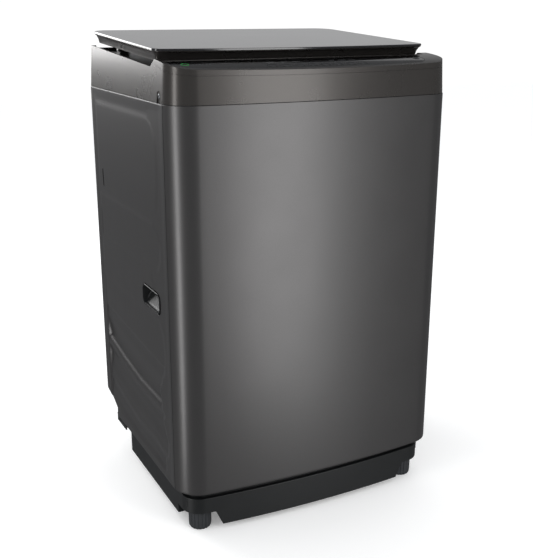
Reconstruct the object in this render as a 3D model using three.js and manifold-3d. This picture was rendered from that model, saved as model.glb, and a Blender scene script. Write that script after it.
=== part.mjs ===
// Top load washing machine: steel cabinet on a plastic plinth, moulded top cover with an inclined
// control panel, a hinged glass lid, and the hanging tub, basket and belt drive inside.
// Millimetres, +Z up, front towards -Y. The origin is on the floor under the middle of the machine.
import * as THREE from 'three';
import { mergeVertices } from 'three/addons/utils/BufferGeometryUtils.js';
import Module from 'manifold-3d';

const wasm = await Module();
wasm.setup();

// ---- driving dimensions ----
const GAP = 0.3;                 // clearance between pieces that touch
const HALF_W = 310;              // cabinet half width
const REAR_Y = 252.5;            // rear edge of the cabinet sides
const FRONT_Y = -280;            // middle of the bowed front
const FRONT_R = 2500;            // radius of the bow
const CORNER_R = 58.8;           // front vertical corners
const SHEET = 1.2;               // cabinet sheet
const CABINET_Z = [99.2, 884.2];
const COVER_Z = 884.5;           // seam between cabinet and top cover
const COVER_WALL = 3;
const COVER_DRAFT = 0.0524;      // the cover leans in by this much for each mm of height
const NOTCH = { low: [-143, 948], seam: [-156.3, 955.2], top: [-169, 962.3] };
const SIDE_EDGE_REAR = [252, 974];
const SEAM_SLOPE = 0.18;         // the line between cover and panel frame falls towards the front
const PANEL_REAR_Y = -190;       // back wall of the control panel
const PANEL_DECK = 5;            // thickness of the panel frame under its top surface
const GLASS_T = 2.2;             // panel glass
const GLASS_MARGIN = 13;         // panel glass to outer edge
const GLASS_RIGHT_X = 253;
const HORN_X = 283;              // inner face of the two horns beside the lid
const DECK_FRONT_Z = 936;        // deck round the wash opening
const DECK_SLOPE = 0.0665;
const DECK_T = 3;
const THROAT = { halfW: 195, front: -140, rear: 150, radius: 110, bottom: 868 };
const LID = { halfW: 303, front: -184, rear: 254, frontR: 20, rearR: 38, slope: 0.0608, midZ: 990.3 };
const LID_GLASS_T = 4;
const LID_SKIRT_SPREAD = 0.45;     // part of its draw-in that the skirt keeps back at the sides
const HINGE = { y: 240, z: 985, knuckleR: 7, boreR: 3.05, pinR: 2.85, x: 232.5, halfX: 12, reach: 28 };
const KEY = { count: 8, pitch: 28.4, firstX: -102.4, y: -251, halfX: 10.5, halfY: 7.5, radius: 7.2 };
const POWER_KEY = { x: 238, y: -226, r: 7.5 };
const FOOT = { r: 24.4, flutes: 18, height: 45, stemR: 6, stemTop: 70 };
const FRONT_FOOT = [255, -214];
const REAR_FOOT = [225, 190];
const HANDLE = { y: -112.5, z: 483.5, halfY: 52.5, halfZ: 23.5, radius: 16, depth: 34 };
const TUB = { r: 247, bottom: 190.4, top: 826, wall: 3 };
const BASKET = { r: 233, bottom: 215, top: 800, wall: 1 };
const ROD = { x: 248, y: 200, r: 5 };
const BRACKET_Z = 842;           // corner brackets that the suspension rods hang from
const MOTOR = { x: -118, y: 92, r: 52 };
const BELT_Z = [122, 130];
const PULLEY_R = 88.4;
const MOTOR_PULLEY_R = 22.1;
const BELT_T = 5;
const VALVE = { x: [130, 190], z: 915, r: 13.2, bore: 9, end: 280 };
const DRAIN = { x: -262, z: 176, r: 16 };
const DRAWER = { x: -60, halfX: 42, front: 147.5, rear: 234, bottom: 892, top: 924 };

// ---- finishes ----
const finish = (color, roughness, metalness) => (
  new THREE.MeshStandardMaterial({ color, roughness, metalness })
);
const finishes = {
  cabinet: () => finish('#4a4b4c', 0.42, 0.55),
  zinc: () => finish('#8d9093', 0.5, 0.7),
  cover: () => finish('#4b4946', 0.42, 0.3),
  plinth: () => finish('#26282a', 0.6, 0),
  blackGlass: () => finish('#0b0b0c', 0.06, 0),
  lidGlass: () => finish('#1a1a1c', 0.08, 0),
  blackPlastic: () => finish('#141415', 0.35, 0),
  key: () => finish('#1c1d1f', 0.2, 0),
  rubber: () => finish('#202224', 0.8, 0),
  stainless: () => finish('#b9bcbf', 0.28, 1),
  tub: () => finish('#c9cac6', 0.55, 0),
  greyPlastic: () => finish('#8b8e90', 0.5, 0),
  white: () => finish('#dddedb', 0.5, 0),
  steel: () => finish('#77797c', 0.4, 0.9),
  castAluminium: () => finish('#9a9c9e', 0.5, 0.8),
};

const machine = new THREE.Group();

// ---- solids ----
function signedVolume(positions, index) {
  const a = new THREE.Vector3();
  const b = new THREE.Vector3();
  const c = new THREE.Vector3();
  let volume = 0;
  for (let i = 0; i < index.length; i += 3) {
    a.fromArray(positions, index[i] * 3);
    b.fromArray(positions, index[i + 1] * 3);
    c.fromArray(positions, index[i + 2] * 3);
    volume += a.dot(b.cross(c)) / 6;
  }
  return volume;
}

// A closed three.js geometry as a solid, with its faces turned out.
function solid(geometry) {
  const bare = geometry.clone();
  bare.deleteAttribute('normal');
  bare.deleteAttribute('uv');
  const merged = mergeVertices(bare, 1e-4);
  const positions = merged.attributes.position.array;
  const index = [];
  const all = merged.index.array;
  for (let i = 0; i < all.length; i += 3) {
    const [a, b, c] = [all[i], all[i + 1], all[i + 2]];
    if (a !== b && b !== c && c !== a) index.push(a, b, c);
  }
  if (signedVolume(positions, index) < 0) {
    for (let i = 0; i < index.length; i += 3) [index[i + 1], index[i + 2]] = [index[i + 2], index[i + 1]];
  }
  const mesh = new wasm.Mesh({
    numProp: 3,
    vertProperties: new Float32Array(positions),
    triVerts: new Uint32Array(index),
  });
  return new wasm.Manifold(mesh);
}

function toGeometry(body) {
  const { vertProperties, triVerts } = body.getMesh();
  const geometry = new THREE.BufferGeometry();
  geometry.setAttribute('position', new THREE.BufferAttribute(new Float32Array(vertProperties), 3));
  geometry.setIndex(new THREE.BufferAttribute(new Uint32Array(triVerts), 1));
  geometry.computeVertexNormals();
  return geometry;
}

function addPart(name, body, material, position = [0, 0, 0]) {
  const mesh = new THREE.Mesh(toGeometry(body), material);
  mesh.name = name;
  mesh.position.set(...position);
  machine.add(mesh);
  return mesh;
}

const shapeOf = (points) => new THREE.Shape(points.map(([x, y]) => new THREE.Vector2(x, y)));

function extrude(points, length) {
  return new THREE.ExtrudeGeometry(shapeOf(points), { depth: length, bevelEnabled: false });
}

// Outline in the XY plane, standing from z0 to z1.
function prism(points, z0, z1) {
  return solid(extrude(points, z1 - z0).translate(0, 0, z0));
}

// Outline of [y, z] points, running along X.
function prismX(points, x0, x1) {
  const turn = new THREE.Matrix4().makeBasis(
    new THREE.Vector3(0, 1, 0),
    new THREE.Vector3(0, 0, 1),
    new THREE.Vector3(1, 0, 0),
  );
  return solid(extrude(points, x1 - x0).applyMatrix4(turn).translate(x0, 0, 0));
}

// Outline of [x, z] points, running along Y.
function prismY(points, y0, y1) {
  return solid(extrude(points, y1 - y0).rotateX(Math.PI / 2).translate(0, y1, 0));
}

function box(x, y, z) {
  const geometry = new THREE.BoxGeometry(x[1] - x[0], y[1] - y[0], z[1] - z[0]);
  return solid(geometry.translate((x[0] + x[1]) / 2, (y[0] + y[1]) / 2, (z[0] + z[1]) / 2));
}

function cylinder(r, z0, z1, [x, y] = [0, 0], segments = 24) {
  const geometry = new THREE.CylinderGeometry(r, r, z1 - z0, segments).rotateX(Math.PI / 2);
  return solid(geometry.translate(x, y, (z0 + z1) / 2));
}

function cylinderX(r, x0, x1, [y, z], segments = 14) {
  const geometry = new THREE.CylinderGeometry(r, r, x1 - x0, segments).rotateZ(Math.PI / 2);
  return solid(geometry.translate((x0 + x1) / 2, y, z));
}

function cylinderY(r, y0, y1, [x, z], segments = 20) {
  return solid(new THREE.CylinderGeometry(r, r, y1 - y0, segments).translate(x, (y0 + y1) / 2, z));
}

// Profile of [radius, z] points turned about a vertical axis.
function turned(profile, segments = 40) {
  const points = [...profile, profile[0]].map(([r, z]) => new THREE.Vector2(r, z));
  return solid(new THREE.LatheGeometry(points, segments).rotateX(Math.PI / 2));
}

const add = (...bodies) => bodies.reduce((whole, next) => whole.add(next));
const cut = (body, ...tools) => tools.reduce((rest, tool) => rest.subtract(tool), body);
const keep = (body, tool) => body.intersect(tool);

// ---- plan outlines ----
function arc(cx, cy, r, from, to, steps) {
  const points = [];
  for (let i = 0; i <= steps; i += 1) {
    const a = from + ((to - from) * i) / steps;
    points.push([cx + r * Math.cos(a), cy + r * Math.sin(a)]);
  }
  return points;
}

// Straight sides, a bowed front and round corners, drawn in by inset on every side.
function bowedPlan({ halfW, front, rear, frontR, rearR, cornerSteps = 6, bowSteps = 8 }, inset = 0) {
  const bowR = FRONT_R - inset;
  const bowY = front + FRONT_R;
  const fr = Math.max(frontR - inset, 3);
  const fx = halfW - inset - fr;
  const fy = bowY - Math.sqrt((bowR - fr) ** 2 - fx ** 2);
  const lean = Math.atan2(fx, bowY - fy);
  const down = 1.5 * Math.PI;
  const points = [
    ...arc(-fx, fy, fr, Math.PI, down - lean, cornerSteps),
    ...arc(0, bowY, bowR, down - lean, down + lean, bowSteps).slice(1, -1),
    ...arc(fx, fy, fr, down + lean, 2 * Math.PI, cornerSteps),
  ];
  if (!rearR) return [[inset - halfW, rear - inset], ...points, [halfW - inset, rear - inset]];
  const rr = Math.max(rearR - inset, 3);
  const rx = halfW - inset - rr;
  const ry = rear - inset - rr;
  return [
    ...arc(-rx, ry, rr, Math.PI / 2, Math.PI, cornerSteps),
    ...points,
    ...arc(rx, ry, rr, 0, Math.PI / 2, cornerSteps),
  ];
}

const housingPlan = (inset) => (
  bowedPlan({ halfW: HALF_W, front: FRONT_Y, rear: REAR_Y, frontR: CORNER_R }, inset)
);
const lidPlan = (inset, spread = 0) => (
  bowedPlan({ ...LID, halfW: LID.halfW + spread, bowSteps: 6, cornerSteps: 4 }, inset)
);

function roundedRectangle(halfX, halfY, r, steps = 5, [cx, cy] = [0, 0]) {
  const [x, y] = [halfX - r, halfY - r];
  return [
    ...arc(cx + x, cy + y, r, 0, Math.PI / 2, steps),
    ...arc(cx - x, cy + y, r, Math.PI / 2, Math.PI, steps),
    ...arc(cx - x, cy - y, r, Math.PI, 1.5 * Math.PI, steps),
    ...arc(cx + x, cy - y, r, 1.5 * Math.PI, 2 * Math.PI, steps),
  ];
}

// Stacks plan(inset) at the given [inset, z] levels into one skin.
function loft(plan, levels) {
  const rings = levels.map(([inset]) => plan(inset));
  const geometry = new THREE.ExtrudeGeometry(shapeOf(rings[0]), {
    depth: levels.length - 1,
    steps: levels.length - 1,
    bevelEnabled: false,
  });
  const position = geometry.attributes.position;
  const nearest = (x, y) => {
    const away = rings[0].map(([px, py]) => Math.hypot(px - x, py - y));
    return away.indexOf(Math.min(...away));
  };
  for (let v = 0; v < position.count; v += 1) {
    const level = Math.round(position.getZ(v));
    const [x, y] = rings[level][nearest(position.getX(v), position.getY(v))];
    position.setXYZ(v, x, y, levels[level][1]);
  }
  return solid(geometry);
}

// ---- cabinet ----
const coverInset = (z) => 1 + (z - COVER_Z) * COVER_DRAFT;

function handleOutline(grow) {
  const { y, z, halfY, halfZ, radius } = HANDLE;
  return roundedRectangle(halfY + grow, halfZ + grow, radius + grow, 3, [y, z]);
}

function rodCornerPlates() {
  const inner = prism(housingPlan(SHEET - 0.4), BRACKET_Z, BRACKET_Z + 3);
  const plates = [];
  for (const side of [-1, 1]) {
    const x = [Math.min(side * 222, side * 311), Math.max(side * 222, side * 311)];
    plates.push(keep(inner, box(x, [-290, -172], [BRACKET_Z - 1, BRACKET_Z + 4])));
    plates.push(keep(inner, box(x, [174, 252], [BRACKET_Z - 1, BRACKET_Z + 4])));
  }
  const holes = [];
  for (const x of [-ROD.x, ROD.x]) {
    for (const y of [-ROD.y, ROD.y]) {
      holes.push(cylinder(ROD.r + 1.5, BRACKET_Z - 2, BRACKET_Z + 5, [x, y], 16));
    }
  }
  return cut(add(...plates), ...holes);
}

function cabinet() {
  const flange = 18;
  const [bottom, top] = CABINET_Z;
  const outer = prism(housingPlan(0), bottom, top);
  const inner = prism(housingPlan(SHEET), bottom - 1, top + 1);
  const openX = [flange - HALF_W, HALF_W - flange];
  const rearOpening = box(openX, [REAR_Y - 5, REAR_Y + 5], [bottom - 1, top + 1]);
  const rearFoot = prismX([
    [262, 90], [262, 146.5], [252.5, 146.5], [177, 119], [175.6, 98], [175.6, 90],
  ], -320, 320);
  const handles = prismX(handleOutline(0), -320, 320);
  const slots = prismX(roundedRectangle(3, 20, 2.9, 3, [192, 688]), -320, 320);
  const shell = cut(outer, inner, rearOpening, rearFoot, handles, slots);
  addPart('cabinet', add(shell, rodCornerPlates()), finishes.cabinet());
}

function rearPanel() {
  const [y0, y1] = [REAR_Y + GAP, REAR_Y + GAP + 1.2];
  const [z0, z1] = [150, 880];
  const bulge = { halfX: 234, halfZ: 318, z: 520, r: 70, out: 269 };
  const plan = (inset) => roundedRectangle(bulge.halfX - inset, bulge.halfZ - inset, bulge.r - inset, 4);
  const turn = (body) => body.rotate([90, 0, 0]).translate([0, 0, bulge.z]);
  const outside = turn(loft(plan, [[0, -y1 + 0.2], [14, -bulge.out]]));
  const inside = turn(loft(plan, [[1.4, -y0 + 1], [15.2, -bulge.out + 1.2]]));
  const plate = box([-HALF_W + 1, HALF_W - 1], [y0, y1], [z0, z1]);
  const drain = cylinderY(DRAIN.r + 0.6, 240, 290, [DRAIN.x, DRAIN.z], 16);
  const vents = [];
  for (let row = 0; row < 5; row += 1) {
    for (const x of [-150, 150]) {
      const z = 330 + row * 22;
      vents.push(box([x - 45, x + 45], [240, 290], [z - 3.5, z + 3.5]));
    }
  }
  addPart('rear_panel', cut(add(plate, outside), inside, ...vents, drain), finishes.zinc());
}

// ---- plinth ----
function plinth() {
  const ring = (out, inn, z0, z1) => (
    cut(prism(housingPlan(out), z0, z1), prism(housingPlan(inn), z0 - 1, z1 + 1))
  );
  const apron = ring(17, 20, 12.5, 79.6);
  const frontEnds = prismY([
    [-330, 10], [-330, 45.5], [-233.5, 45.5], [-218, 12.4], [-218, 10],
  ], -300, -214);
  const frontEndsRight = frontEnds.mirror([1, 0, 0]);
  const sideEnds = prismX([
    [-260, 10], [-260, 45.5], [-187, 45.5], [-187, 24], [128, 24], [128, 10],
  ], -330, 330);
  const sideOnly = cut(sideEnds, box([-280, 280], [-270, -180], [0, 70]));
  const rearEnd = prismX([
    [127, 10], [127, 73], [168, 73], [168, 58], [260, 58], [260, 10],
  ], -330, 330);
  const skirt = cut(apron, frontEnds, frontEndsRight, sideOnly, rearEnd);
  const endWall = keep(box([-292, -255], [-187, -184.5], [24, 79]), prism(housingPlan(18), 20, 90));
  const ledge = ring(17, 30, 76.6, 79.6);
  const neck = ring(27, 30, 76.6, 104);
  const shelf = ring(2.2, 30, 101, 104);
  const lip = ring(2.2, 5, 101, 118);
  const rearFoot = prismX([[262, 98], [262, 150], [252.5, 148.5], [176, 121], [173.5, 98]], -320, 320);
  const upper = cut(add(shelf, lip), rearFoot);
  const bosses = [];
  const bores = [];
  for (const [x, y] of feetPositions()) {
    bosses.push(cylinder(23, 46, 79, [x, y], 16));
    const [x0, x1] = x < 0 ? [-288, x] : [x, 288];
    bosses.push(keep(box([x0, x1], [y - 18, y + 18], [60, 79]), prism(housingPlan(18), 50, 90)));
    bores.push(cylinder(FOOT.stemR + 0.5, 40, 74, [x, y], 12));
  }
  const walls = [endWall, endWall.mirror([1, 0, 0])];
  addPart('base_plinth', cut(add(skirt, ...walls, ledge, neck, upper, ...bosses), ...bores), finishes.plinth());
}

function feetPositions() {
  return [FRONT_FOOT, REAR_FOOT].flatMap(([x, y]) => [[-x, y], [x, y]]);
}

function foot() {
  const fluted = (inset) => {
    const points = [];
    for (let i = 0; i < FOOT.flutes; i += 1) {
      for (const [turn, depth] of [[0, 0], [0.5, 1.6]]) {
        const a = ((i + turn) / FOOT.flutes) * 2 * Math.PI;
        const r = FOOT.r - inset - depth;
        points.push([r * Math.cos(a), r * Math.sin(a)]);
      }
    }
    return points;
  };
  const barrel = loft(fluted, [[3.5, 0], [0.8, 6], [0, FOOT.height]]);
  return add(barrel, cylinder(FOOT.stemR, FOOT.height - 1, FOOT.stemTop, [0, 0], 16));
}

function feet() {
  const names = ['foot_front_left', 'foot_front_right', 'foot_rear_left', 'foot_rear_right'];
  const body = foot();
  feetPositions().forEach(([x, y], i) => addPart(names[i], body, finishes.rubber(), [x, y, 0]));
}

// ---- top cover and control panel ----
const panelTop = (y) => {
  const d = Math.max(NOTCH.top[0] - y, 0);
  return NOTCH.top[1] - 0.0694 * d - 0.00101 * d * d;
};
const panelSlope = (y) => 0.0694 + 0.00202 * (NOTCH.top[0] - y);
const seamZ = (y) => NOTCH.seam[1] + SEAM_SLOPE * (y - NOTCH.seam[0]);
const deckZ = (y) => DECK_FRONT_Z + Math.max(y - NOTCH.low[0], 0) * DECK_SLOPE;

function panelCurve(drop, from, to, steps = 8) {
  const points = [];
  for (let i = 0; i <= steps; i += 1) {
    const y = from + ((to - from) * i) / steps;
    points.push([y, panelTop(y) - drop]);
  }
  return points;
}

const coverLoft = (inset, z0, z1) => (
  loft(housingPlan, [[coverInset(z0) + inset, z0], [coverInset(z1) + inset, z1]])
);
const throatPlan = (inset) => bowedPlan({
  halfW: THROAT.halfW, front: THROAT.front, rear: THROAT.rear, frontR: THROAT.radius, rearR: THROAT.radius,
}, inset);

function topCover() {
  const band = cut(coverLoft(0, COVER_Z, 980), coverLoft(COVER_WALL, COVER_Z - 1, 981));
  const above = prismX([
    [-320, seamZ(-320)], NOTCH.seam, NOTCH.low, SIDE_EDGE_REAR, [300, 977], [300, 1000], [-320, 1000],
  ], -330, 330);
  const rearEdge = box([-294, 294], [235, 270], [deckZ(248), 1000]);
  const inside = coverLoft(COVER_WALL - 0.3, COVER_Z, 980);
  const deckProfile = [
    [-199, DECK_FRONT_Z], NOTCH.low.with(1, DECK_FRONT_Z), [260, deckZ(260)],
    [260, deckZ(260) - DECK_T], NOTCH.low.with(1, DECK_FRONT_Z - DECK_T), [-199, DECK_FRONT_Z - DECK_T],
  ];
  const deck = keep(prismX(deckProfile, -330, 330), inside);
  const belowDeck = prismX([
    [-199, 800], [260, 800], [260, deckZ(260)], NOTCH.low.with(1, DECK_FRONT_Z), [-199, DECK_FRONT_Z],
  ], -330, 330);
  const sleeve = cut(prism(throatPlan(-COVER_WALL), THROAT.bottom, 980), prism(throatPlan(0), 800, 990));
  const collar = keep(sleeve, belowDeck);
  const throat = prism(throatPlan(0), 800, 1000);
  const { x, halfX, bottom, top } = DRAWER;
  const drawerWindow = box([x - halfX - 3, x + halfX + 3], [140, 160], [bottom - 3.5, top + 3.5]);
  const nipples = VALVE.x.map((at) => cylinderY(VALVE.r + 1, 230, 270, [at, VALVE.z], 24));
  const gland = cylinderY(9, 230, 270, [-220, VALVE.z], 20);
  const screwRecesses = [-1, 1].map((side) => {
    const deep = HALF_W - coverInset(COVER_Z + 12) - 1.6;
    const [x0, x1] = side < 0 ? [-330, -deep] : [deep, 330];
    const arch = [[-204, 880], [-186, 880], ...arc(-195, 898, 9, 0, Math.PI, 8)];
    return prismX(arch, x0, x1);
  });
  const shell = cut(band, above, rearEdge);
  addPart('top_cover', cut(
    add(shell, cut(deck, throat), collar), drawerWindow, ...nipples, gland, ...screwRecesses,
  ), finishes.cover());
}

function coverScrews() {
  const face = HALF_W - coverInset(COVER_Z + 12) - 1.6 + GAP;
  for (const [name, side] of [['cover_screw_left', -1], ['cover_screw_right', 1]]) {
    const ends = side < 0 ? [-face - 1.3, -face] : [face, face + 1.3];
    addPart(name, cylinderX(5, ends[0], ends[1], [-195, 897], 20), finishes.steel());
  }
}

function panelGlassPlan(grow) {
  const margin = GLASS_MARGIN - grow;
  const right = GLASS_RIGHT_X + grow;
  const r = 30 + grow;
  const cx = right - r;
  const bowY = FRONT_Y + FRONT_R;
  const frontY = bowY - Math.sqrt((FRONT_R - margin) ** 2 - cx ** 2);
  const plan = prism(housingPlan(margin), 900, 1000);
  const rear = PANEL_REAR_Y - 6 + grow;
  const kept = keep(plan, box([-330, right], [-330, rear], [900, 1000]));
  const corner = box([cx, right + 1], [-330, frontY + r], [890, 1010]);
  return cut(kept, cut(corner, cylinder(r, 880, 1020, [cx, frontY + r], 32)));
}

// Pushes a body made about the origin, with +Z out of the panel, down on to the panel at x, y.
function onPanel(body, x, y, out = 0) {
  const tilt = Math.atan(panelSlope(y));
  const lift = panelTop(y) - GAP;
  const degrees = (tilt * 180) / Math.PI;
  const offset = [0, -Math.sin(tilt) * out, Math.cos(tilt) * out];
  return body.rotate([degrees, 0, 0]).translate([x + offset[0], y + offset[1], lift + offset[2]]);
}

function keyPlaces() {
  const places = [];
  for (let i = 0; i < KEY.count; i += 1) {
    const x = KEY.firstX + i * KEY.pitch;
    places.push([x, KEY.y + (x * x) / (2 * FRONT_R)]);
  }
  return places;
}

const keyOutline = (grow) => roundedRectangle(KEY.halfX + grow, KEY.halfY + grow, KEY.radius + grow, 3);

function keyHoles() {
  const holes = keyPlaces().map(([x, y]) => onPanel(prism(keyOutline(0.4), -12, 6), x, y));
  holes.push(onPanel(cylinder(POWER_KEY.r + 0.4, -12, 6, [0, 0], 16), POWER_KEY.x, POWER_KEY.y));
  return holes;
}

function controlPanel() {
  const profile = [
    [-320, seamZ(-320) + GAP],
    [NOTCH.seam[0], NOTCH.seam[1] + GAP],
    NOTCH.top,
    ...panelCurve(0, NOTCH.top[0] - 2, -300, 7),
    [-320, panelTop(-300) - 4],
  ];
  const envelope = keep(coverLoft(0, 925, 964), prismX(profile, -330, 330));
  const wellBehind = box([-HORN_X, HORN_X], [PANEL_REAR_Y, -100], [900, 1000]);
  const hollowProfile = [
    [-320, 900], [PANEL_REAR_Y - 3, 900], ...panelCurve(PANEL_DECK, PANEL_REAR_Y - 3, -300, 5), [-320, 930],
  ];
  const hollow = keep(coverLoft(COVER_WALL, 924, 965), prismX(hollowProfile, -330, 330));
  const rearWall = box([-HORN_X, HORN_X], [PANEL_REAR_Y - 3, PANEL_REAR_Y], [DECK_FRONT_Z + GAP, 952]);
  const hornWalls = [-1, 1].map((side) => {
    const x = side < 0 ? [-HORN_X - 3, -HORN_X] : [HORN_X, HORN_X + 3];
    return box(x, [PANEL_REAR_Y - 3, -160], [DECK_FRONT_Z + GAP, 957]);
  });
  const recess = keep(
    panelGlassPlan(GAP),
    prismX([...panelCurve(GLASS_T + 2 * GAP, -180, -300, 6), [-300, 1000], [-180, 1000]], -330, 330),
  );
  const frame = cut(add(cut(envelope, wellBehind, hollow), rearWall, ...hornWalls), recess, ...keyHoles());
  addPart('control_panel_frame', frame, finishes.cover());

  const slab = prismX([
    ...panelCurve(GAP, -180, -300, 6), ...panelCurve(GAP + GLASS_T, -300, -180, 6),
  ], -330, 330);
  addPart('control_panel_glass', cut(keep(panelGlassPlan(0), slab), ...keyHoles()), finishes.blackGlass());

  const keyBody = add(prism(keyOutline(0), -4.4, 0.6), cylinder(3, -24, -4, [0, 0], 8));
  keyPlaces().forEach(([x, y], i) => {
    addPart(`program_key_${i + 1}`, onPanel(keyBody, x, y), finishes.key());
  });
  const powerBody = add(cylinder(POWER_KEY.r, -4.4, 0.6, [0, 0], 16), cylinder(3, -24, -4, [0, 0], 8));
  addPart('power_key', onPanel(powerBody, POWER_KEY.x, POWER_KEY.y), finishes.key());

  const boardCase = box([-215, 262], [-258, -203], [893, 922]);
  const boardSpace = box([-212, 259], [-255, -200], [896, 919]);
  addPart('control_board_box', cut(boardCase, boardSpace), finishes.greyPlastic());
}

// ---- lid ----
const tiltLid = (body) => (
  body.rotate([(Math.atan(LID.slope) * 180) / Math.PI, 0, 0]).translate([0, 0, LID.midZ])
);

function lid() {
  const glass = tiltLid(loft(lidPlan, [[0, -LID_GLASS_T], [0, -1], [0.9, 0]]));
  addPart('lid_glass', glass, finishes.lidGlass());

  const top = -LID_GLASS_T - GAP;
  const skirtPlan = (inset) => lidPlan(inset, LID_SKIRT_SPREAD * Math.max(inset - 1, 0));
  const outside = loft(skirtPlan, [[0.7, top], [1.2, -6], [8, -9.5], [13, -15], [17, -24]]);
  const inside = loft(lidPlan, [[30, top + 1], [30, top - 3], [20.5, top - 5.5], [20.5, -25]]);
  const ring = tiltLid(cut(outside, inside));
  const bosses = [];
  const notches = [];
  const pinHoles = [];
  for (const side of [-1, 1]) {
    const [x0, x1] = [side * HINGE.x - HINGE.reach, side * HINGE.x + HINGE.reach];
    const at = [HINGE.y, HINGE.z];
    bosses.push(cylinderX(HINGE.knuckleR, x0, x1, at));
    notches.push(box([side * HINGE.x - 16, side * HINGE.x + 16], [222, 262], [970, 994.5]));
    pinHoles.push(cylinderX(HINGE.boreR + 0.25, x0 - 1, x1 + 1, at, 12));
  }
  addPart('lid_frame', cut(add(ring, ...bosses), ...notches, ...pinHoles), finishes.cover());

  const trayPlan = (inset) => bowedPlan({ ...LID, rear: 248, bowSteps: 6, cornerSteps: 3 }, inset + 20.9);
  const tray = cut(
    loft(trayPlan, [[0, -20.5], [0, -23.5], [34, -23.5], [46, -31]]),
    loft(trayPlan, [[30, -20], [36, -21.6], [48.5, -28.6]]),
  );
  const ribs = loft(trayPlan, [[0, -12], [0, -20.8]]);
  const ribHollow = loft(trayPlan, [[2.4, -11], [2.4, -21.2]]);
  addPart('lid_inner_cover', tiltLid(add(tray, cut(ribs, ribHollow))), finishes.blackPlastic());
}

function hinges() {
  for (const [word, side] of [['left', -1], ['right', 1]]) {
    const x = side * HINGE.x;
    const at = [HINGE.y, HINGE.z];
    const arm = prismX([
      [228, deckZ(248) + GAP], [247.5, deckZ(248) + GAP], [247, HINGE.z], [233.2, HINGE.z],
    ], x - HINGE.halfX, x + HINGE.halfX);
    const knuckle = cylinderX(HINGE.knuckleR, x - HINGE.halfX, x + HINGE.halfX, at);
    const bore = cylinderX(HINGE.boreR, x - 20, x + 20, at, 12);
    const bracket = cut(add(arm, knuckle), bore);
    addPart(`hinge_bracket_${word}`, bracket, finishes.blackPlastic());
    const pin = cylinderX(HINGE.pinR, x - HINGE.reach, x + HINGE.reach, at, 12);
    addPart(`hinge_pin_${word}`, pin, finishes.steel());
  }
}

// ---- handles and rear fittings ----
function handleCups() {
  for (const [word, side] of [['left', -1], ['right', 1]]) {
    const wall = HALF_W;
    const rim = [wall + GAP, wall + GAP + 1];
    const span = (a, b) => (side < 0 ? [-b, -a] : [a, b]);
    const flange = prismX(handleOutline(3.5), ...span(...rim));
    const cup = prismX(handleOutline(-0.4), ...span(wall - HANDLE.depth, rim[1]));
    const hollow = prismX(handleOutline(-2.6), ...span(wall - HANDLE.depth + 2.2, wall + 5));
    addPart(`handle_cup_${word}`, cut(add(flange, cup), hollow), finishes.plinth());
  }
}

function inletValves() {
  const { z, r, bore, end } = VALVE;
  const profile = [
    [0, 200], [16, 200], [16, 236], [19, 236], [19, 243.5],
    [r, 243.5], [r, end], [bore, end], [bore, 250], [0, 250],
  ];
  const body = turned(profile, 20).rotate([-90, 0, 0]);
  addPart('inlet_valve_hot', body, finishes.white(), [VALVE.x[0], 0, z]);
  addPart('inlet_valve_cold', body, finishes.white(), [VALVE.x[1], 0, z]);
  const gland = turned([
    [0, 238], [12, 238], [12, 243.5], [8, 243.5], [8, 262], [4, 262], [4, 240], [0, 240],
  ], 14);
  addPart('cord_gland', gland.rotate([-90, 0, 0]), finishes.rubber(), [-220, 0, z]);
}

function drainOutlet() {
  const { x, z, r } = DRAIN;
  const bore = r - 3;
  const profile = [
    [bore, 230], [r, 230], [r, 254.5], [r + 8, 254.5],
    [r + 8, 258], [r, 258], [r, VALVE.end], [bore, VALVE.end],
  ];
  addPart('drain_outlet', turned(profile, 16).rotate([-90, 0, 0]), finishes.plinth(), [x, 0, z]);
}

// ---- detergent drawer ----
function detergentDrawer() {
  const { x, halfX, front, rear, bottom, top } = DRAWER;
  const outer = box([x - halfX - 4, x + halfX + 4], [154.5, 244], [bottom - 3.5, top + 5]);
  const channel = box([x - halfX - 1, x + halfX + 1], [140, 240], [bottom - 1, top + 2.5]);
  addPart('detergent_drawer_housing', cut(outer, channel), finishes.white());

  const tray = box([x - halfX, x + halfX], [front + 2, rear], [bottom, top]);
  const fascia = box([x - halfX - 1.5, x + halfX + 1.5], [front, front + 4], [bottom - 2, top + 2.5]);
  const wells = [[x - halfX + 2, x - 1], [x + 1, x + halfX - 2]];
  const hollows = wells.map((wide) => box(wide, [front + 6, rear - 2], [bottom + 2, top + 5]));
  addPart('detergent_drawer', cut(add(tray, fascia), ...hollows), finishes.white());
}

// ---- tub, basket and pulsator ----
function outerTub() {
  const { r, bottom, top, wall } = TUB;
  const shell = turned([
    [33, bottom], [r - 20, bottom], [r - 4, bottom + 18], [r, top], [r - wall, top],
    [r - 4 - wall, bottom + 19], [r - 21, bottom + 4], [33, bottom + 4],
  ], 28);
  const reach = Math.hypot(ROD.x, ROD.y);
  const lugs = [];
  const bores = [];
  for (const [sx, sy] of [[-1, -1], [1, -1], [-1, 1], [1, 1]]) {
    const turn = (Math.atan2(sy * ROD.y, sx * ROD.x) * 180) / Math.PI;
    const lug = box([r - 5, reach + 12], [-17, 17], [250, 262]);
    const web = box([r - 5, reach - 8], [-2, 2], [261, 296]);
    lugs.push(add(lug, web).rotate([0, 0, turn]));
    bores.push(cylinder(ROD.r + 1.5, 240, 270, [sx * ROD.x, sy * ROD.y], 16));
  }
  const body = cut(add(shell, ...lugs), ...bores);
  addPart('outer_tub', body, finishes.tub());

  const ring = turned([
    [205, 846], [r - 5, 846], [r - 2, top + GAP], [r + 3, top + GAP],
    [r + 3, 844], [r - 3.5, 849.5], [205, 849.5],
  ], 28);
  addPart('tub_ring', ring, finishes.greyPlastic());
}

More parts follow.
